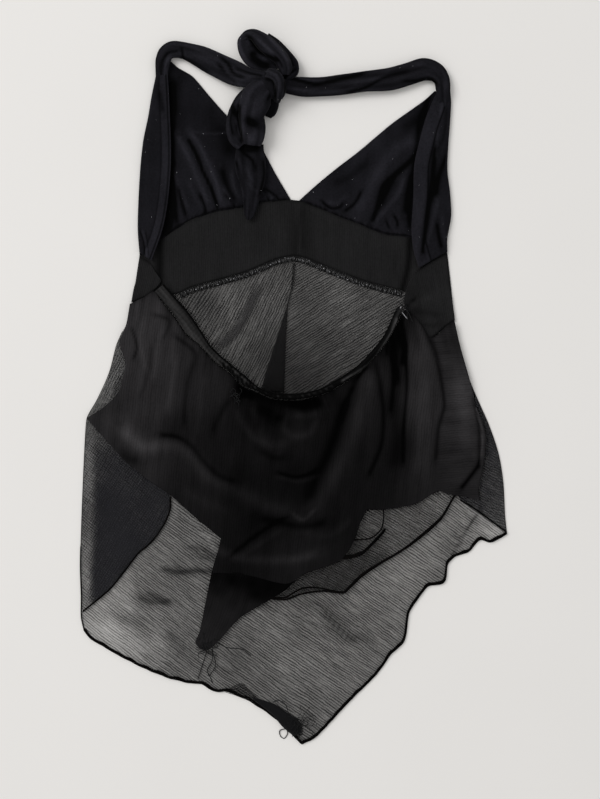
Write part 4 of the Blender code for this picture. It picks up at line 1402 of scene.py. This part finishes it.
@dataclass
class Cup:
    """A gathered jersey cup, turned over the side with a stitched armhole edge on the back."""

    wardrobe: Wardrobe
    side: Side
    edge: Table
    seam: Table
    turn: Table
    gathers: tuple[Fold, ...]
    turned_folds: tuple[Fold, ...]
    area: float
    fold_radius: float = 1.3
    wall: float = 1.0
    base: float = 1.1
    hem_width: float = 5.5
    groove: float = 2.2
    rows: int = 110
    front_cols: int = 84
    turn_steps: int = 8
    back_cols: int = 34
    front_tone: float = 0.85
    turn_tone: float = 0.8
    hem_tone: float = 1.28
    back_tone: float = 0.78

    def build(self) -> bpy.types.Object:
        """Build the cup and dress it.

        Returns:
            The cup.
        """
        way = self.side.value
        table = curve_of(self.turn, self.rows)
        sides, ends = table[:, :2], table[:, 2:]
        inner = sides - np.array([way * (self.fold_radius + self.wall), 0])
        columns, tones = self.front_columns(sides, inner)
        for step in range(1, self.turn_steps):
            angle = math.pi * step / self.turn_steps
            out = inner + np.array([way * self.fold_radius * math.sin(angle), 0])
            height = np.full((self.rows + 1, 1), self.base + self.fold_radius * (1 - math.cos(angle)))
            columns.append(np.hstack([out, height])[:, None])
            tones.append(np.full((self.rows + 1, 1), self.turn_tone))
        self.add_back(inner, ends, columns, tones)
        points = np.concatenate(columns, axis=1)
        solid = np.ones(points.shape[:2])
        net = Net(points, turned(points[..., :2], 90), solid, np.concatenate(tones, axis=1))
        name = f"cup_{self.side.name.lower()}"
        piece = make_cloth(name + "_cloth", [net], self.wall, flip=self.side is Side.LEFT)
        self.wardrobe.dress(piece, JERSEY, "jersey", [name])
        return piece

    def front_columns(self, sides: np.ndarray,
                      inner: np.ndarray) -> tuple[list[np.ndarray], list[np.ndarray]]:
        """Work out the cup's front, gathered towards the strap and along the band seam.

        Args:
            sides: The side it turns over at.
            inner: Where the turn over the side begins.

        Returns:
            Its columns of points and their tones.
        """
        way, front_cols = self.side.value, self.front_cols
        edge = curve_of(self.edge, self.rows)
        low = curve_of(self.seam, front_cols)
        low = low if self.side is Side.RIGHT else low[::-1]
        top = curve_of((tuple(edge[-1]), tuple(sides[-1])), front_cols)
        share = np.linspace(0, 1, front_cols + 1)[:, None]
        low = low + (inner[0] - sides[0]) * share
        top = top + (inner[-1] - sides[-1]) * share
        known = curve_of(self.seam, 80)
        order = np.argsort(known[:, 0])
        low[:, 1] = np.interp(low[:, 0], known[order, 0], known[order, 1]) + 0.6
        xy = patch(low, top, edge, inner)
        rise, shade = lift_of(xy, self.gathers)
        margin = np.minimum(reach_to(xy, edge), reach_to(xy, inner))
        rise = rise * np.clip(margin / 12, 0, 1) + ripple(xy, 61 + way, 0.9) * np.clip(margin / 12, 0.1, 1)
        piping = 0.5 * np.exp(-(np.clip(reach_to(xy, edge) - 1.5, 0, 9) / 1.6) ** 2)
        columns = [np.dstack([xy, self.base + np.maximum(rise + piping, 0)])]
        notch = 1.5 + 0.8 * np.sin(xy[..., 0] * 0.9 + 2.4 * np.sin(xy[..., 0] * 0.23))
        seam_shadow = 1 - 0.9 * np.exp(-(reach_to(xy, low) / notch) ** 2)
        # painted shade and highlight of the gathers, with the painted shadow along the band seam
        tones = [np.clip(self.front_tone * (1 + 1.5 * shade) * seam_shadow, DARKEST, LIGHTEST)]
        return columns, tones

    def add_back(self, inner: np.ndarray, ends: np.ndarray, columns: list[np.ndarray],
                 tones: list[np.ndarray]) -> None:
        """Add the part that lies on the back, with the stitched armhole hem at its edge.

        Args:
            inner: Where the turn over the side ends.
            ends: The armhole edge.
            columns: The columns it is added to.
            tones: Their tones.
        """
        way, back_cols = self.side.value, self.back_cols
        width = np.linalg.norm(ends - inner, axis=1)
        for step in range(back_cols + 1):
            place = inner + (ends - inner) * step / back_cols
            left = width * (1 - step / back_cols)
            line = np.exp(-((left - np.minimum(self.hem_width, width * 0.75)) / 1.3) ** 2)
            rise, shade = lift_of(place[:, None], self.turned_folds)
            height = self.base + 2 * self.fold_radius + ripple(place, 63 + way, 0.7) - 0.7 * line + rise[:, 0]
            columns.append(np.column_stack([place, height])[:, None])
            # the stitched hem strip is lighter; the stitch crease and the groove are darkened as painted
            # shade, and the turned folds paint their shade and highlight
            flat = np.where(left < self.hem_width, self.hem_tone, self.back_tone) * (1 - 0.35 * line)
            flat *= 1 - 0.85 * np.exp(-((left - self.groove) / 0.85) ** 2)
            tones.append(np.clip(flat * (1 + 1.4 * shade[:, 0]), DARKEST, LIGHTEST)[:, None])


CUP_LEFT_GATHERS = (
    Fold(2.6, 3.6, ((-125, 272), (-118, 258), (-110, 243), (-103, 225), (-96, 208), (-89, 195)), 0.6),
    Fold(2.4, 3.2, ((-112, 276), (-104, 266), (-95, 249), (-88, 233), (-82, 217), (-77, 197)), 0.7),
    Fold(-1.4, 1.7, ((-113, 266), (-104, 249), (-98, 233), (-90, 217), (-84, 200), (-82, 193)), -1.3),
    Fold(-1.0, 1.7, ((-101, 208), (-96, 195), (-95, 186)), -0.9),
    Fold(0, 25, ((-122, 324), (-112, 296), (-94, 280)), -0.42),
    Fold(0, 14, ((-84, 272), (-74, 256), (-60, 238)), -0.35),
    Fold(0, 8, ((-108, 224), (-106, 206)), -0.22),
    Fold(-0.6, 5, ((-133, 240), (-133, 210), (-134, 190), (-137, 168)), -1.0),
    Fold(1.2, 2.4, ((-66, 232), (-64, 216), (-58, 202)), 0.35),
    Fold(-1.0, 1.9, ((-124, 215), (-120, 198), (-116, 184)), -0.75),
    Fold(-1.0, 2.6, ((-131, 225), (-128, 198), (-125, 174)), -0.55),
    Fold(-1.2, 4.5, ((-79, 240), (-71, 214), (-60, 197)), -0.6),
    Fold(1.4, 2.2, ((-76, 216), (-70, 204), (-66, 196)), 0.5),
    Fold(1.8, 3, ((-128, 233), (-122, 213), (-112, 190)), 0.35),
    Fold(1.6, 2.6, ((-112, 221), (-106, 206), (-99, 194)), 0.35),
    Fold(-0.8, 1.4, ((-74, 208), (-66, 198), (-62, 192)), -0.7),
    Fold(-0.8, 1.8, ((-38, 218), (-28, 206), (-26, 198)), -0.7),
    Fold(-0.8, 1.5, ((-30, 214), (-19, 206), (-15, 200)), -0.7),
    Fold(1.4, 2, ((-36, 212), (-24, 204), (-20, 200)), 0.4),
    Fold(-0.6, 7, ((-126, 338), (-130, 312), (-131, 288)), -0.5),
    Fold(-0.6, 4.5, ((-134, 330), (-132, 290), (-131, 262), (-132, 232)), -0.75),
    Fold(-0.6, 6.5, ((-136, 216), (-137, 190), (-138, 160)), -0.9),
    Fold(0.6, 1.3, ((-106, 275), (-88, 273), (-68, 275)), 0.35),
    Fold(-0.6, 9, ((-92, 292), (-74, 268), (-62, 240)), -0.3))
CUP_RIGHT_GATHERS = (
    Fold(2.6, 6.5, ((137, 267), (115, 257), (98, 238), (87, 223), (78, 202), (68, 186)), 0.45),
    Fold(-1.4, 3.0, ((137, 254), (124, 242), (109, 228), (97, 216), (92, 198), (84, 176)), -0.9),
    Fold(-0.5, 6, ((114, 228), (101, 214), (95, 202)), -0.5),
    Fold(0, 12, ((146, 300), (138, 278), (128, 262)), -0.25),
    Fold(0, 14, ((60, 228), (84, 250)), -0.14),
    Fold(-1.0, 3.4, ((103, 222), (99, 208), (95, 194)), -0.4),
    Fold(2.0, 3, ((121, 230), (115, 210), (102, 193), (88, 177)), 0.45),
    Fold(-1.2, 4.6, ((130, 234), (124, 210), (121, 184)), -0.75),
    Fold(-1.0, 2, ((74, 212), (66, 198), (54, 189)), -0.75),
    Fold(-0.8, 1.7, ((30, 201), (40, 193), (50, 194), (54, 200)), -0.7),
    Fold(1.2, 2, ((36, 199), (48, 198), (58, 206)), 0.4),
    Fold(-0.8, 4.5, ((40, 217), (62, 228), (84, 246)), -0.3),
    Fold(-0.8, 7, ((148, 306), (134, 290), (112, 274)), -0.4),
    Fold(1.2, 6, ((110, 290), (84, 264), (56, 238)), 0.2),
    Fold(-0.8, 1.7, ((108, 186), (112, 178), (112, 172)), -0.7),
    Fold(-0.8, 1.5, ((100, 180), (102, 174), (104, 170)), -0.6),
    Fold(-0.6, 3.2, ((147, 315), (136, 280), (131, 240), (126, 200), (125, 168)), -0.6))
TURNED_LEFT_FOLDS = (
    Fold(-0.5, 3.6, ((-145, 322), (-142, 306), (-140, 292)), -0.5),
    Fold(0.9, 6, ((-156, 320), (-158, 250), (-156, 170)), 0.1),
    Fold(-0.6, 1.2, ((-165, 168), (-161, 156), (-160, 142)), -0.6),
    Fold(-0.6, 1.0, ((-159, 166), (-157, 152), (-156, 140)), -0.5),
    Fold(0.7, 1.3, ((-162, 168), (-158, 152), (-157, 140)), 0.5),
    Fold(-0.5, 8, ((-166, 290), (-167, 240), (-164, 200)), -0.2))
TURNED_RIGHT_FOLDS = (
    Fold(-1.0, 3.4, ((155, 262), (152, 249), (148, 210), (142, 169), (139, 140)), -0.85),
    Fold(-1.0, 3.6, ((167, 252), (157, 228), (153, 202)), -0.75),
    Fold(0.9, 2.2, ((156, 204), (149, 172), (142, 148)), 0.45),
    Fold(-0.8, 2.6, ((154, 178), (157, 160), (160, 148)), -0.8),
    Fold(0.9, 2, ((161, 186), (161, 168), (165, 154)), 0.35),
    Fold(0.8, 1.4, ((160, 303), (156, 277), (154, 247)), 0.45),
    Fold(-0.8, 2.2, ((165, 300), (164, 280), (160, 262)), -0.35))


@dataclass
class NeckTies:
    """The two neck ties and the bow they are tied in."""

    wardrobe: Wardrobe
    left: Table = (
        (-142.5, 333, 3.4, 5, 0, 13, 1.6), (-142, 342, 5.2, 5, 0, 14, 2.2),
        (-141, 352, 6.8, -3, 0, 16, 3.4), (-138, 360, 6, -25, 0, 17, 4), (-130, 364.5, 5.5, -65, 0, 19, 4),
        (-117, 363, 5.2, -96, 0, 19, 4.4), (-101, 357, 5, -110, 0, 23, 4.4), (-85, 349, 5, -114, 0, 26, 5),
        (-66, 340, 7, -112, 0, 28, 6), (-50, 334.5, 12, -100, 0, 22, 8), (-38, 334.5, 15, -95, 0, 15, 9),
        (-26, 335, 15, -95, 0, 11, 9))
    right: Table = (
        (162.5, 303, 3.4, 175, 0, 13, 1.6), (162, 312, 5.2, 175, 0, 14, 2.2),
        (161.5, 322, 7, 180, 0, 16, 3.4), (160, 332, 6, 205, 0, 17, 4), (153, 340, 5.8, 240, 0, 21, 4.4),
        (140, 343, 5.5, 275, 0, 25, 4.6), (124, 338, 6, 292, 0, 25, 5), (104, 332.5, 6.5, 285, 0, 24, 5),
        (77, 330, 7, 275, 0, 23, 6), (56, 327, 6.5, 277, 0, 22, 5), (34, 324.5, 6, 275, 0, 21, 5),
        (12, 324, 6.5, 268, 0, 22, 6), (-6, 326, 9, 262, 0, 18, 9), (-18, 328, 11, 262, 0, 12, 9))
    left_folds: tuple[Fold, ...] = (
        Fold(-0.8, 1.6, ((-121, 367), (-120, 361), (-119, 355)), -0.5),
        Fold(0.6, 1.5, ((-139, 330), (-138, 348), (-134, 355), (-122, 357)), 0.5),
        Fold(-0.6, 1.6, ((-143, 328), (-143, 350), (-136, 360), (-124, 363)), -0.5),
        Fold(1.2, 3, ((-108, 364), (-92, 357), (-76, 352)), 0.35),
        Fold(-1.4, 1.6, ((-78, 356), (-70, 348), (-64, 338), (-54, 334)), -0.8),
        Fold(-1.2, 1.8, ((-82, 350), (-72, 338), (-62, 328)), -0.6),
        Fold(1.2, 2.2, ((-66, 335), (-56, 332), (-44, 333)), 0.5),
        Fold(-0.8, 1.5, ((-62, 344), (-48, 339), (-33, 336)), -0.6),
        Fold(-0.8, 2.4, ((-124, 356), (-106, 349), (-90, 339)), -0.4),
        Fold(1.0, 2, ((-74, 342), (-66, 332), (-58, 327)), 0.4))
    right_folds: tuple[Fold, ...] = (
        Fold(-1.4, 2.2, ((-4, 334), (14, 329), (24, 327), (50, 332), (76, 338)), -0.85),
        Fold(-1.2, 1.8, ((58, 318), (77, 323), (98, 334), (124, 341)), -0.6),
        Fold(1.2, 2.6, ((62, 325), (84, 331), (106, 341)), 0.3),
        Fold(1.0, 3, ((-4, 322), (20, 318), (48, 320)), 0.3),
        Fold(-1.0, 1.8, ((118, 330), (134, 331), (148, 333), (156, 326)), -0.6),
        Fold(1.2, 3, ((130, 347), (148, 346), (162, 336), (166, 318)), 0.3),
        Fold(-0.8, 1.6, ((142, 350), (156, 345), (163, 332)), -0.4),
        Fold(0.6, 1.2, ((4, 334), (20, 331), (34, 331)), 0.5))
    loop_up: Table = (
        (-17, 345, 11, 254, 0, 12, 5), (-24, 347.5, 11, 247, 0, 18, 6), (-33, 351, 11, 240, 0, 23, 6),
        (-42, 357, 11, 228, 0, 26, 7), (-48, 365.5, 11, 205, 0, 25, 7.5), (-51, 373.5, 11.5, 186, 0, 20, 8),
        (-50, 380, 12.5, 170, 0, 11, 6))
    loop_up_front: Table = (
        (-55, 377, 12, 76, -6, 8, 5), (-50, 380.5, 15, 70, -8, 10, 7), (-42, 380, 19, 52, -10, 13, 8),
        (-32, 372, 20, 45, -8, 19, 8), (-22, 363, 20, 40, -6, 19, 8), (-13, 354, 19, 30, -4, 17, 8),
        (-9, 345, 17, 22, 0, 15, 8), (-9, 338, 15, 15, 0, 10, 7))
    loop_up_behind: Table = (
        (-30, 377, 11, 46, 0, 12, 5), (-20, 370, 10, 46, 0, 13, 6), (-9, 359, 9.5, 42, 0, 13, 6),
        (-1.5, 349.5, 9.5, 36, 0, 13, 6), (-0.5, 341, 9.5, 5, 0, 12, 5), (-6, 335.5, 9.5, -45, 0, 9, 5))
    loop_up_folds: tuple[Fold, ...] = (
        Fold(-1.2, 1.8, ((-50, 379), (-46, 376), (-41.5, 368), (-35, 361), (-24, 356), (-18, 353)), -0.95),
        Fold(-0.8, 4.2, ((-44, 366), (-43, 356), (-33, 348), (-22, 349)), -0.85),
        Fold(0.8, 2.0, ((-35, 357), (-30, 354), (-26, 352)), 0.5),
        Fold(1.2, 2.6, ((-58, 378), (-56, 366), (-50, 354)), 0.35),
        Fold(1.0, 2.6, ((-40, 377), (-30, 368), (-18, 357)), 0.3),
        Fold(-1.0, 1.4, ((-22, 360), (-15, 352), (-12, 345)), -0.5),
        Fold(-0.8, 1.4, ((-4, 357), (0, 348), (3, 340)), -0.5),
        Fold(0.7, 1.2, ((-26, 376), (-14, 364), (-5, 352)), 0.5))
    loop_down: Table = (
        (-22, 326, 14, -58, 0, 14, 8), (-31, 322, 16.5, -50, 0, 24, 9), (-38, 315, 19, -36, -4, 32, 9),
        (-42.5, 305, 20, -22, -4, 33, 8), (-45.5, 293, 18, -14, -4, 29, 8), (-44, 280, 16, -8, -3, 28, 8),
        (-44.5, 269, 13, -6, 0, 25, 8), (-45.5, 262, 10, -6, 0, 20, 5))
    loop_down_behind: Table = (
        (-48, 320, 12, 0, 0, 12, 6), (-56, 308, 11, 10, 6, 17, 8), (-62, 295, 10, 8, 8, 18, 9),
        (-63, 281, 9.5, 0, 8, 20, 9), (-60, 269, 9, -12, 6, 20, 7), (-54, 262, 9, -20, 0, 16, 4))
    loop_down_folds: tuple[Fold, ...] = (
        Fold(-1.8, 1.5, ((-58, 304), (-59, 290), (-57, 276), (-55, 264)), -0.9),
        Fold(1.2, 2.6, ((-53, 300), (-54, 288), (-51, 272)), 0.45),
        Fold(-2.0, 5.6, ((-58, 292), (-48, 287), (-40, 284), (-33, 284)), -0.8),
        Fold(1.4, 5, ((-56, 268), (-48, 267), (-38, 270)), 0.5),
        Fold(1.2, 5, ((-44, 314), (-47, 304), (-46, 298)), 0.3),
        Fold(-0.8, 1.4, ((-66, 300), (-68, 286), (-65, 272)), -0.6),
        Fold(-1.0, 2.4, ((-66, 306), (-64, 298), (-60, 292)), -0.7),
        Fold(-1.0, 2.2, ((-26, 326), (-24, 318), (-30, 308)), -0.6),
        Fold(-0.8, 1.4, ((-62, 284), (-61, 274), (-57, 264)), -0.5))
    tail_folds: tuple[Fold, ...] = (
        Fold(-1.0, 4, ((-62, 260), (-48, 257), (-34, 259)), -0.85),
        Fold(-0.8, 1.8, ((-55, 254), (-44, 244), (-41, 234)), -0.7),
        Fold(-0.8, 1.6, ((-62, 244), (-58, 230), (-56, 214)), -0.6),
        Fold(1.0, 1.5, ((-58, 246), (-57, 226), (-53, 204)), 0.6),
        Fold(-0.6, 1.8, ((-33, 246), (-32, 228), (-37, 206)), -0.6),
        Fold(0.8, 2.4, ((-54, 240), (-50, 234), (-44, 220)), 0.35),
        Fold(0.7, 1.6, ((-50, 222), (-44, 214), (-38, 210)), 0.3))
    tail: Table = (
        (-47, 262, 8, 0, 0, 30, 2.6), (-47, 246, 6.7, 0, 0, 33, 2.6), (-46, 234, 6.4, 0, 0, 32, 2.6),
        (-44.5, 222, 6.3, 3, 0, 27, 2.6), (-45.5, 206, 6.2, 5, 0, 20, 2.6),
        (-46.8, 193, 6.0, 5, 0, 15, 2.6), (-47.8, 185, 5.8, 8, 0, 10.5, 2.2),
        (-48.5, 180.5, 5.6, 8, 0, 4, 1.6))
    short_end: Table = (
        (-20.5, 313, 11, -12, 0, 12, 4), (-23, 303, 9.5, -14, 0, 14, 4), (-25.5, 296.5, 8, -20, 0, 13, 4),
        (-27.5, 291.5, 7, -28, 0, 7, 3))
    knot: Table = (
        (-29, 343, 12, 30, 0, 8, 10), (-27.5, 340, 12, 30, 0, 18, 16), (-24.5, 334, 12.5, 28, 0, 25, 20),
        (-20.5, 325, 12.5, 20, 0, 25, 20), (-17.5, 316, 12, 10, 0, 19, 17), (-16, 310, 12, 5, 0, 8, 9))
    wrap: Table = (
        (-30, 336, 9, 60, 0, 8, 3), (-29, 338.5, 17, 62, 0, 11, 4), (-25.5, 339, 22, 66, 0, 11, 4.5),
        (-18.5, 335.5, 24, 40, 0, 12, 4.5), (-15, 328, 24, 8, 0, 11, 4.5),
        (-15.8, 319, 21.5, 0, 0, 10, 4.5), (-17, 312, 17, 0, 0, 8, 4), (-17.5, 308, 11, 0, 0, 6, 3))
    knot_folds: tuple[Fold, ...] = (
        Fold(-1.2, 1.5, ((-30, 333), (-23, 330), (-20, 320), (-20, 311)), -0.8),
        Fold(-1.0, 1.4, ((-8, 342), (-9, 330), (-9, 318)), -0.8),
        Fold(0.8, 2, ((-26, 339), (-18, 335), (-15, 322)), 0.3),
        Fold(-0.8, 1.2, ((-8, 338), (-2, 340), (4, 344)), -0.7))
    side_folds: Table = (
        (4, 346, 9, -50, 0, 6, 4), (0, 342, 10.5, -47, 0, 10, 5), (-5, 337.5, 12, -47, 0, 12, 6),
        (-11, 332, 12, -45, 0, 8, 4))

    def build(self) -> list[bpy.types.Object]:
        """Build the ties and the bow, piece by piece.

        Returns:
            The two ties, the loops, the ends and the knot.
        """
        up = (self.loop_up, self.loop_up_front, self.loop_up_behind)
        # the last column is each net's tone: the back halves of the loops and the knot under its wrap are
        # darker as painted shade
        plan = (("neck_tie_left", (self.left,), 150, 36, self.left_folds, (28, 118), (1.0,)),
                ("neck_tie_right", (self.right,), 200, 36, self.right_folds, (26, 180), (0.76,)),
                ("bow_loop_upper", up, 70, 36, self.loop_up_folds, (34, 110), (1.0, 1.0, 0.7)),
                ("bow_loop_lower", (self.loop_down, self.loop_down_behind), 90, 36, self.loop_down_folds,
                 (44, 105), (1.15, 1.0)),
                ("bow_tail", (self.tail,), 80, 36, self.tail_folds, (33, 65), (0.66,)),
                ("bow_end_short", (self.short_end,), 24, 16, (), (13, 26), (0.5,)),
                ("bow_knot", (self.knot, self.side_folds, self.wrap), 50, 32, self.knot_folds, (40, 66),
                 (0.7, 0.7, 1.15)))
        pieces = []
        for number, (name, tables, steps, ring, folds, size, tones) in enumerate(plan):
            nets = [Band(table, steps, ring=ring, pleats=2, depth=0.4, raised=True, seed=70 + number + 10 * i,
                         shade=tones[i], folds=folds).net() for i, table in enumerate(tables)]
            piece = make_cloth(name + "_cloth", nets)
            self.wardrobe.dress(piece, JERSEY, "jersey", [name])
            pieces.append(piece)
        return pieces


@dataclass
class LooseThreads:
    """The frayed threads at the lining's tip, the hem's point, the casing's end and its lump."""

    wardrobe: Wardrobe
    tufts: tuple[tuple[tuple[float, float], float, int, int, float], ...] = (
        ((-93, -279), 10, 26, 81, 3.4), ((7, -362), 12, 20, 82, 2.8), ((118, 84), 6, 9, 83, 7.5),
        ((-60, -9), 6, 12, 84, 8.5))
    strays: tuple[Table, ...] = (
        ((-92, -281, 2.6), (-97, -296, 1.6), (-103, -315, 1.3)),
        ((-87, -278, 2.6), (-88, -296, 1.8), (-93, -306, 1.5), (-87, -319, 1.3)),
        ((-82, -276, 2.6), (-72, -281, 1.8), (-56, -283, 1.6), (-46, -290, 1.5)),
        ((-88, -284, 2.6), (-84, -300, 1.8), (-91, -312, 1.5)),
        ((-22.6, -340, 2.6), (-16, -337.6, 2.8), (-8.4, -342.7, 3.0), (-5.4, -352, 3.2)),
        ((-2, -366, 2.4), (-8.4, -368.5, 1.6), (-14.9, -371, 1.0), (-14, -377, 0.6), (-10, -379.5, 0.5),
         (-6.4, -373.6, 0.8), (-9, -367, 1.4)),
        ((112, 92, 7.6), (122, 82, 8.2), (128, 70, 7.9)))
    curled_radius: float = 0.3
    stray_radius: float = 0.46

    def tuft(self, middle: tuple[float, float], reach: float, count: int, seed: int,
             height: float) -> list[Net]:
        """Curl some threads about a place.

        Args:
            middle: The place.
            reach: How far they reach, in mm.
            count: How many there are.
            seed: Which way they curl.
            height: How high the lowest lies.

        Returns:
            The threads' nets.
        """
        draw = np.random.default_rng(seed)
        nets = []
        for _ in range(count):
            heading, rows = draw.uniform(0, math.tau), []
            spot = np.array(middle) + draw.uniform(-reach, reach, 2) * 0.35
            for _ in range(6):
                rows.append((*spot, height + draw.uniform(0, 1.6)))
                heading += draw.uniform(-1.3, 1.3)
                ahead = np.array([math.cos(heading), math.sin(heading)])
                spot = spot + ahead * reach * draw.uniform(0.2, 0.42)
            nets.append(thread_net(rows, self.curled_radius, 26, 5))
        return nets

    def build(self) -> list[bpy.types.Object]:
        """Build every tuft and the long strays as one piece.

        Returns:
            The piece.
        """
        nets = [net for tuft in self.tufts for net in self.tuft(*tuft)]
        nets += [thread_net(stray, self.stray_radius, 40, 5) for stray in self.strays]
        piece = make_cloth("loose_threads", nets)
        self.wardrobe.dress(piece, FRAYED, "layered_chiffon")
        return [piece]


@dataclass
class Studio:
    """The pale floor, the soft light and the camera straight above."""

    floor_colour: tuple[float, float, float] = (0.80, 0.782, 0.758)
    floor_unevenness: float = 0.015
    floor_half: float = 4.0
    sky: float = 0.645
    lamp_power: float = 171.0
    lamp_side: float = 3.3
    lamp_place: tuple[float, float, float] = (-3.6, 2.18, 3.9)
    lamp_turn: tuple[float, float] = (-30, -43)
    sensor: tuple[float, float] = (27, 36)

    def floor(self) -> None:
        """Lay the floor."""
        build = bmesh.new()
        bmesh.ops.create_grid(build, x_segments=2, y_segments=2, size=self.floor_half)
        mesh = bpy.data.meshes.new("floor")
        build.to_mesh(mesh)
        build.free()
        floor = bpy.data.objects.new("floor", mesh)
        bpy.context.scene.collection.objects.link(floor)
        made = bpy.data.materials.new("floor_sheet")
        made.use_nodes = True
        kit, surface = NodeKit(made.node_tree), made.node_tree.nodes["Principled BSDF"]
        place = kit.add("TexCoord").outputs["Object"]
        ramp = kit.add("ValToRGB")
        kit.feed(kit.noise(place, 5.0, 2.0), ramp.inputs[0])
        for element, change in zip(ramp.color_ramp.elements, (-self.floor_unevenness, self.floor_unevenness)):
            element.color = (*[c * (1 + change) for c in self.floor_colour], 1)
        kit.feed(ramp.outputs[0], surface.inputs["Base Color"])
        surface.inputs["Roughness"].default_value = 0.9
        surface.inputs["Specular IOR Level"].default_value = 0.1
        mesh.materials.append(made)

    def light(self) -> None:
        """Hang the sky and the window's light."""
        world = bpy.data.worlds.new("soft_sky")
        world.use_nodes = True
        world.node_tree.nodes["Background"].inputs["Color"].default_value = (1, 1, 1, 1)
        world.node_tree.nodes["Background"].inputs["Strength"].default_value = self.sky
        bpy.context.scene.world = world
        lamp = bpy.data.lights.new("window_light", "AREA")
        lamp.shape = "RECTANGLE"
        lamp.size = self.lamp_side
        lamp.size_y = self.lamp_side
        lamp.energy = self.lamp_power
        holder = bpy.data.objects.new("window_light", lamp)
        holder.location = self.lamp_place
        holder.rotation_euler = (*map(math.radians, self.lamp_turn), 0)
        bpy.context.scene.collection.objects.link(holder)

    def camera(self) -> None:
        """Put the camera straight above."""
        lens = bpy.data.cameras.new("overhead")
        lens.sensor_fit = "VERTICAL"
        lens.sensor_width, lens.sensor_height = self.sensor
        lens.lens = self.sensor[1] * CAMERA_HEIGHT / VIEW_SPAN
        eye = bpy.data.objects.new("overhead", lens)
        eye.location = (VIEW_MIDDLE[0] * MM, VIEW_MIDDLE[1] * MM, CAMERA_HEIGHT * MM)
        bpy.context.scene.collection.objects.link(eye)
        bpy.context.scene.camera = eye
        bpy.context.scene.view_settings.view_transform = "Standard"

    def build(self) -> None:
        """Set the stage."""
        self.floor()
        self.light()
        self.camera()


def main() -> None:
    """Build the garment and its stage, and report each piece."""
    logging.basicConfig(level=logging.INFO, format="%(name)s: %(message)s")
    Studio().build()
    wardrobe = Wardrobe()
    pieces = [*FrontSkirt(wardrobe).build(), *SidePanels(wardrobe).build(), *BackOverlay(wardrobe).build(),
              *OpaqueBack(wardrobe).build(), *Waist(wardrobe).build()]
    pieces.append(Cup(wardrobe, Side.LEFT, CUP_LEFT_EDGE, BAND_TOP_LEFT, CUP_LEFT_TURN, CUP_LEFT_GATHERS,
                      TURNED_LEFT_FOLDS, 0.0245, hem_width=10.0).build())
    pieces.append(Cup(wardrobe, Side.RIGHT, CUP_RIGHT_EDGE, BAND_TOP_RIGHT, CUP_RIGHT_TURN, CUP_RIGHT_GATHERS,
                      TURNED_RIGHT_FOLDS, 0.0225, hem_width=15.0, groove=15.5).build())
    pieces += NeckTies(wardrobe).build()
    pieces += LooseThreads(wardrobe).build()
    LOG.info("%d pieces", len(pieces))


if __name__ == "__main__":
    main()
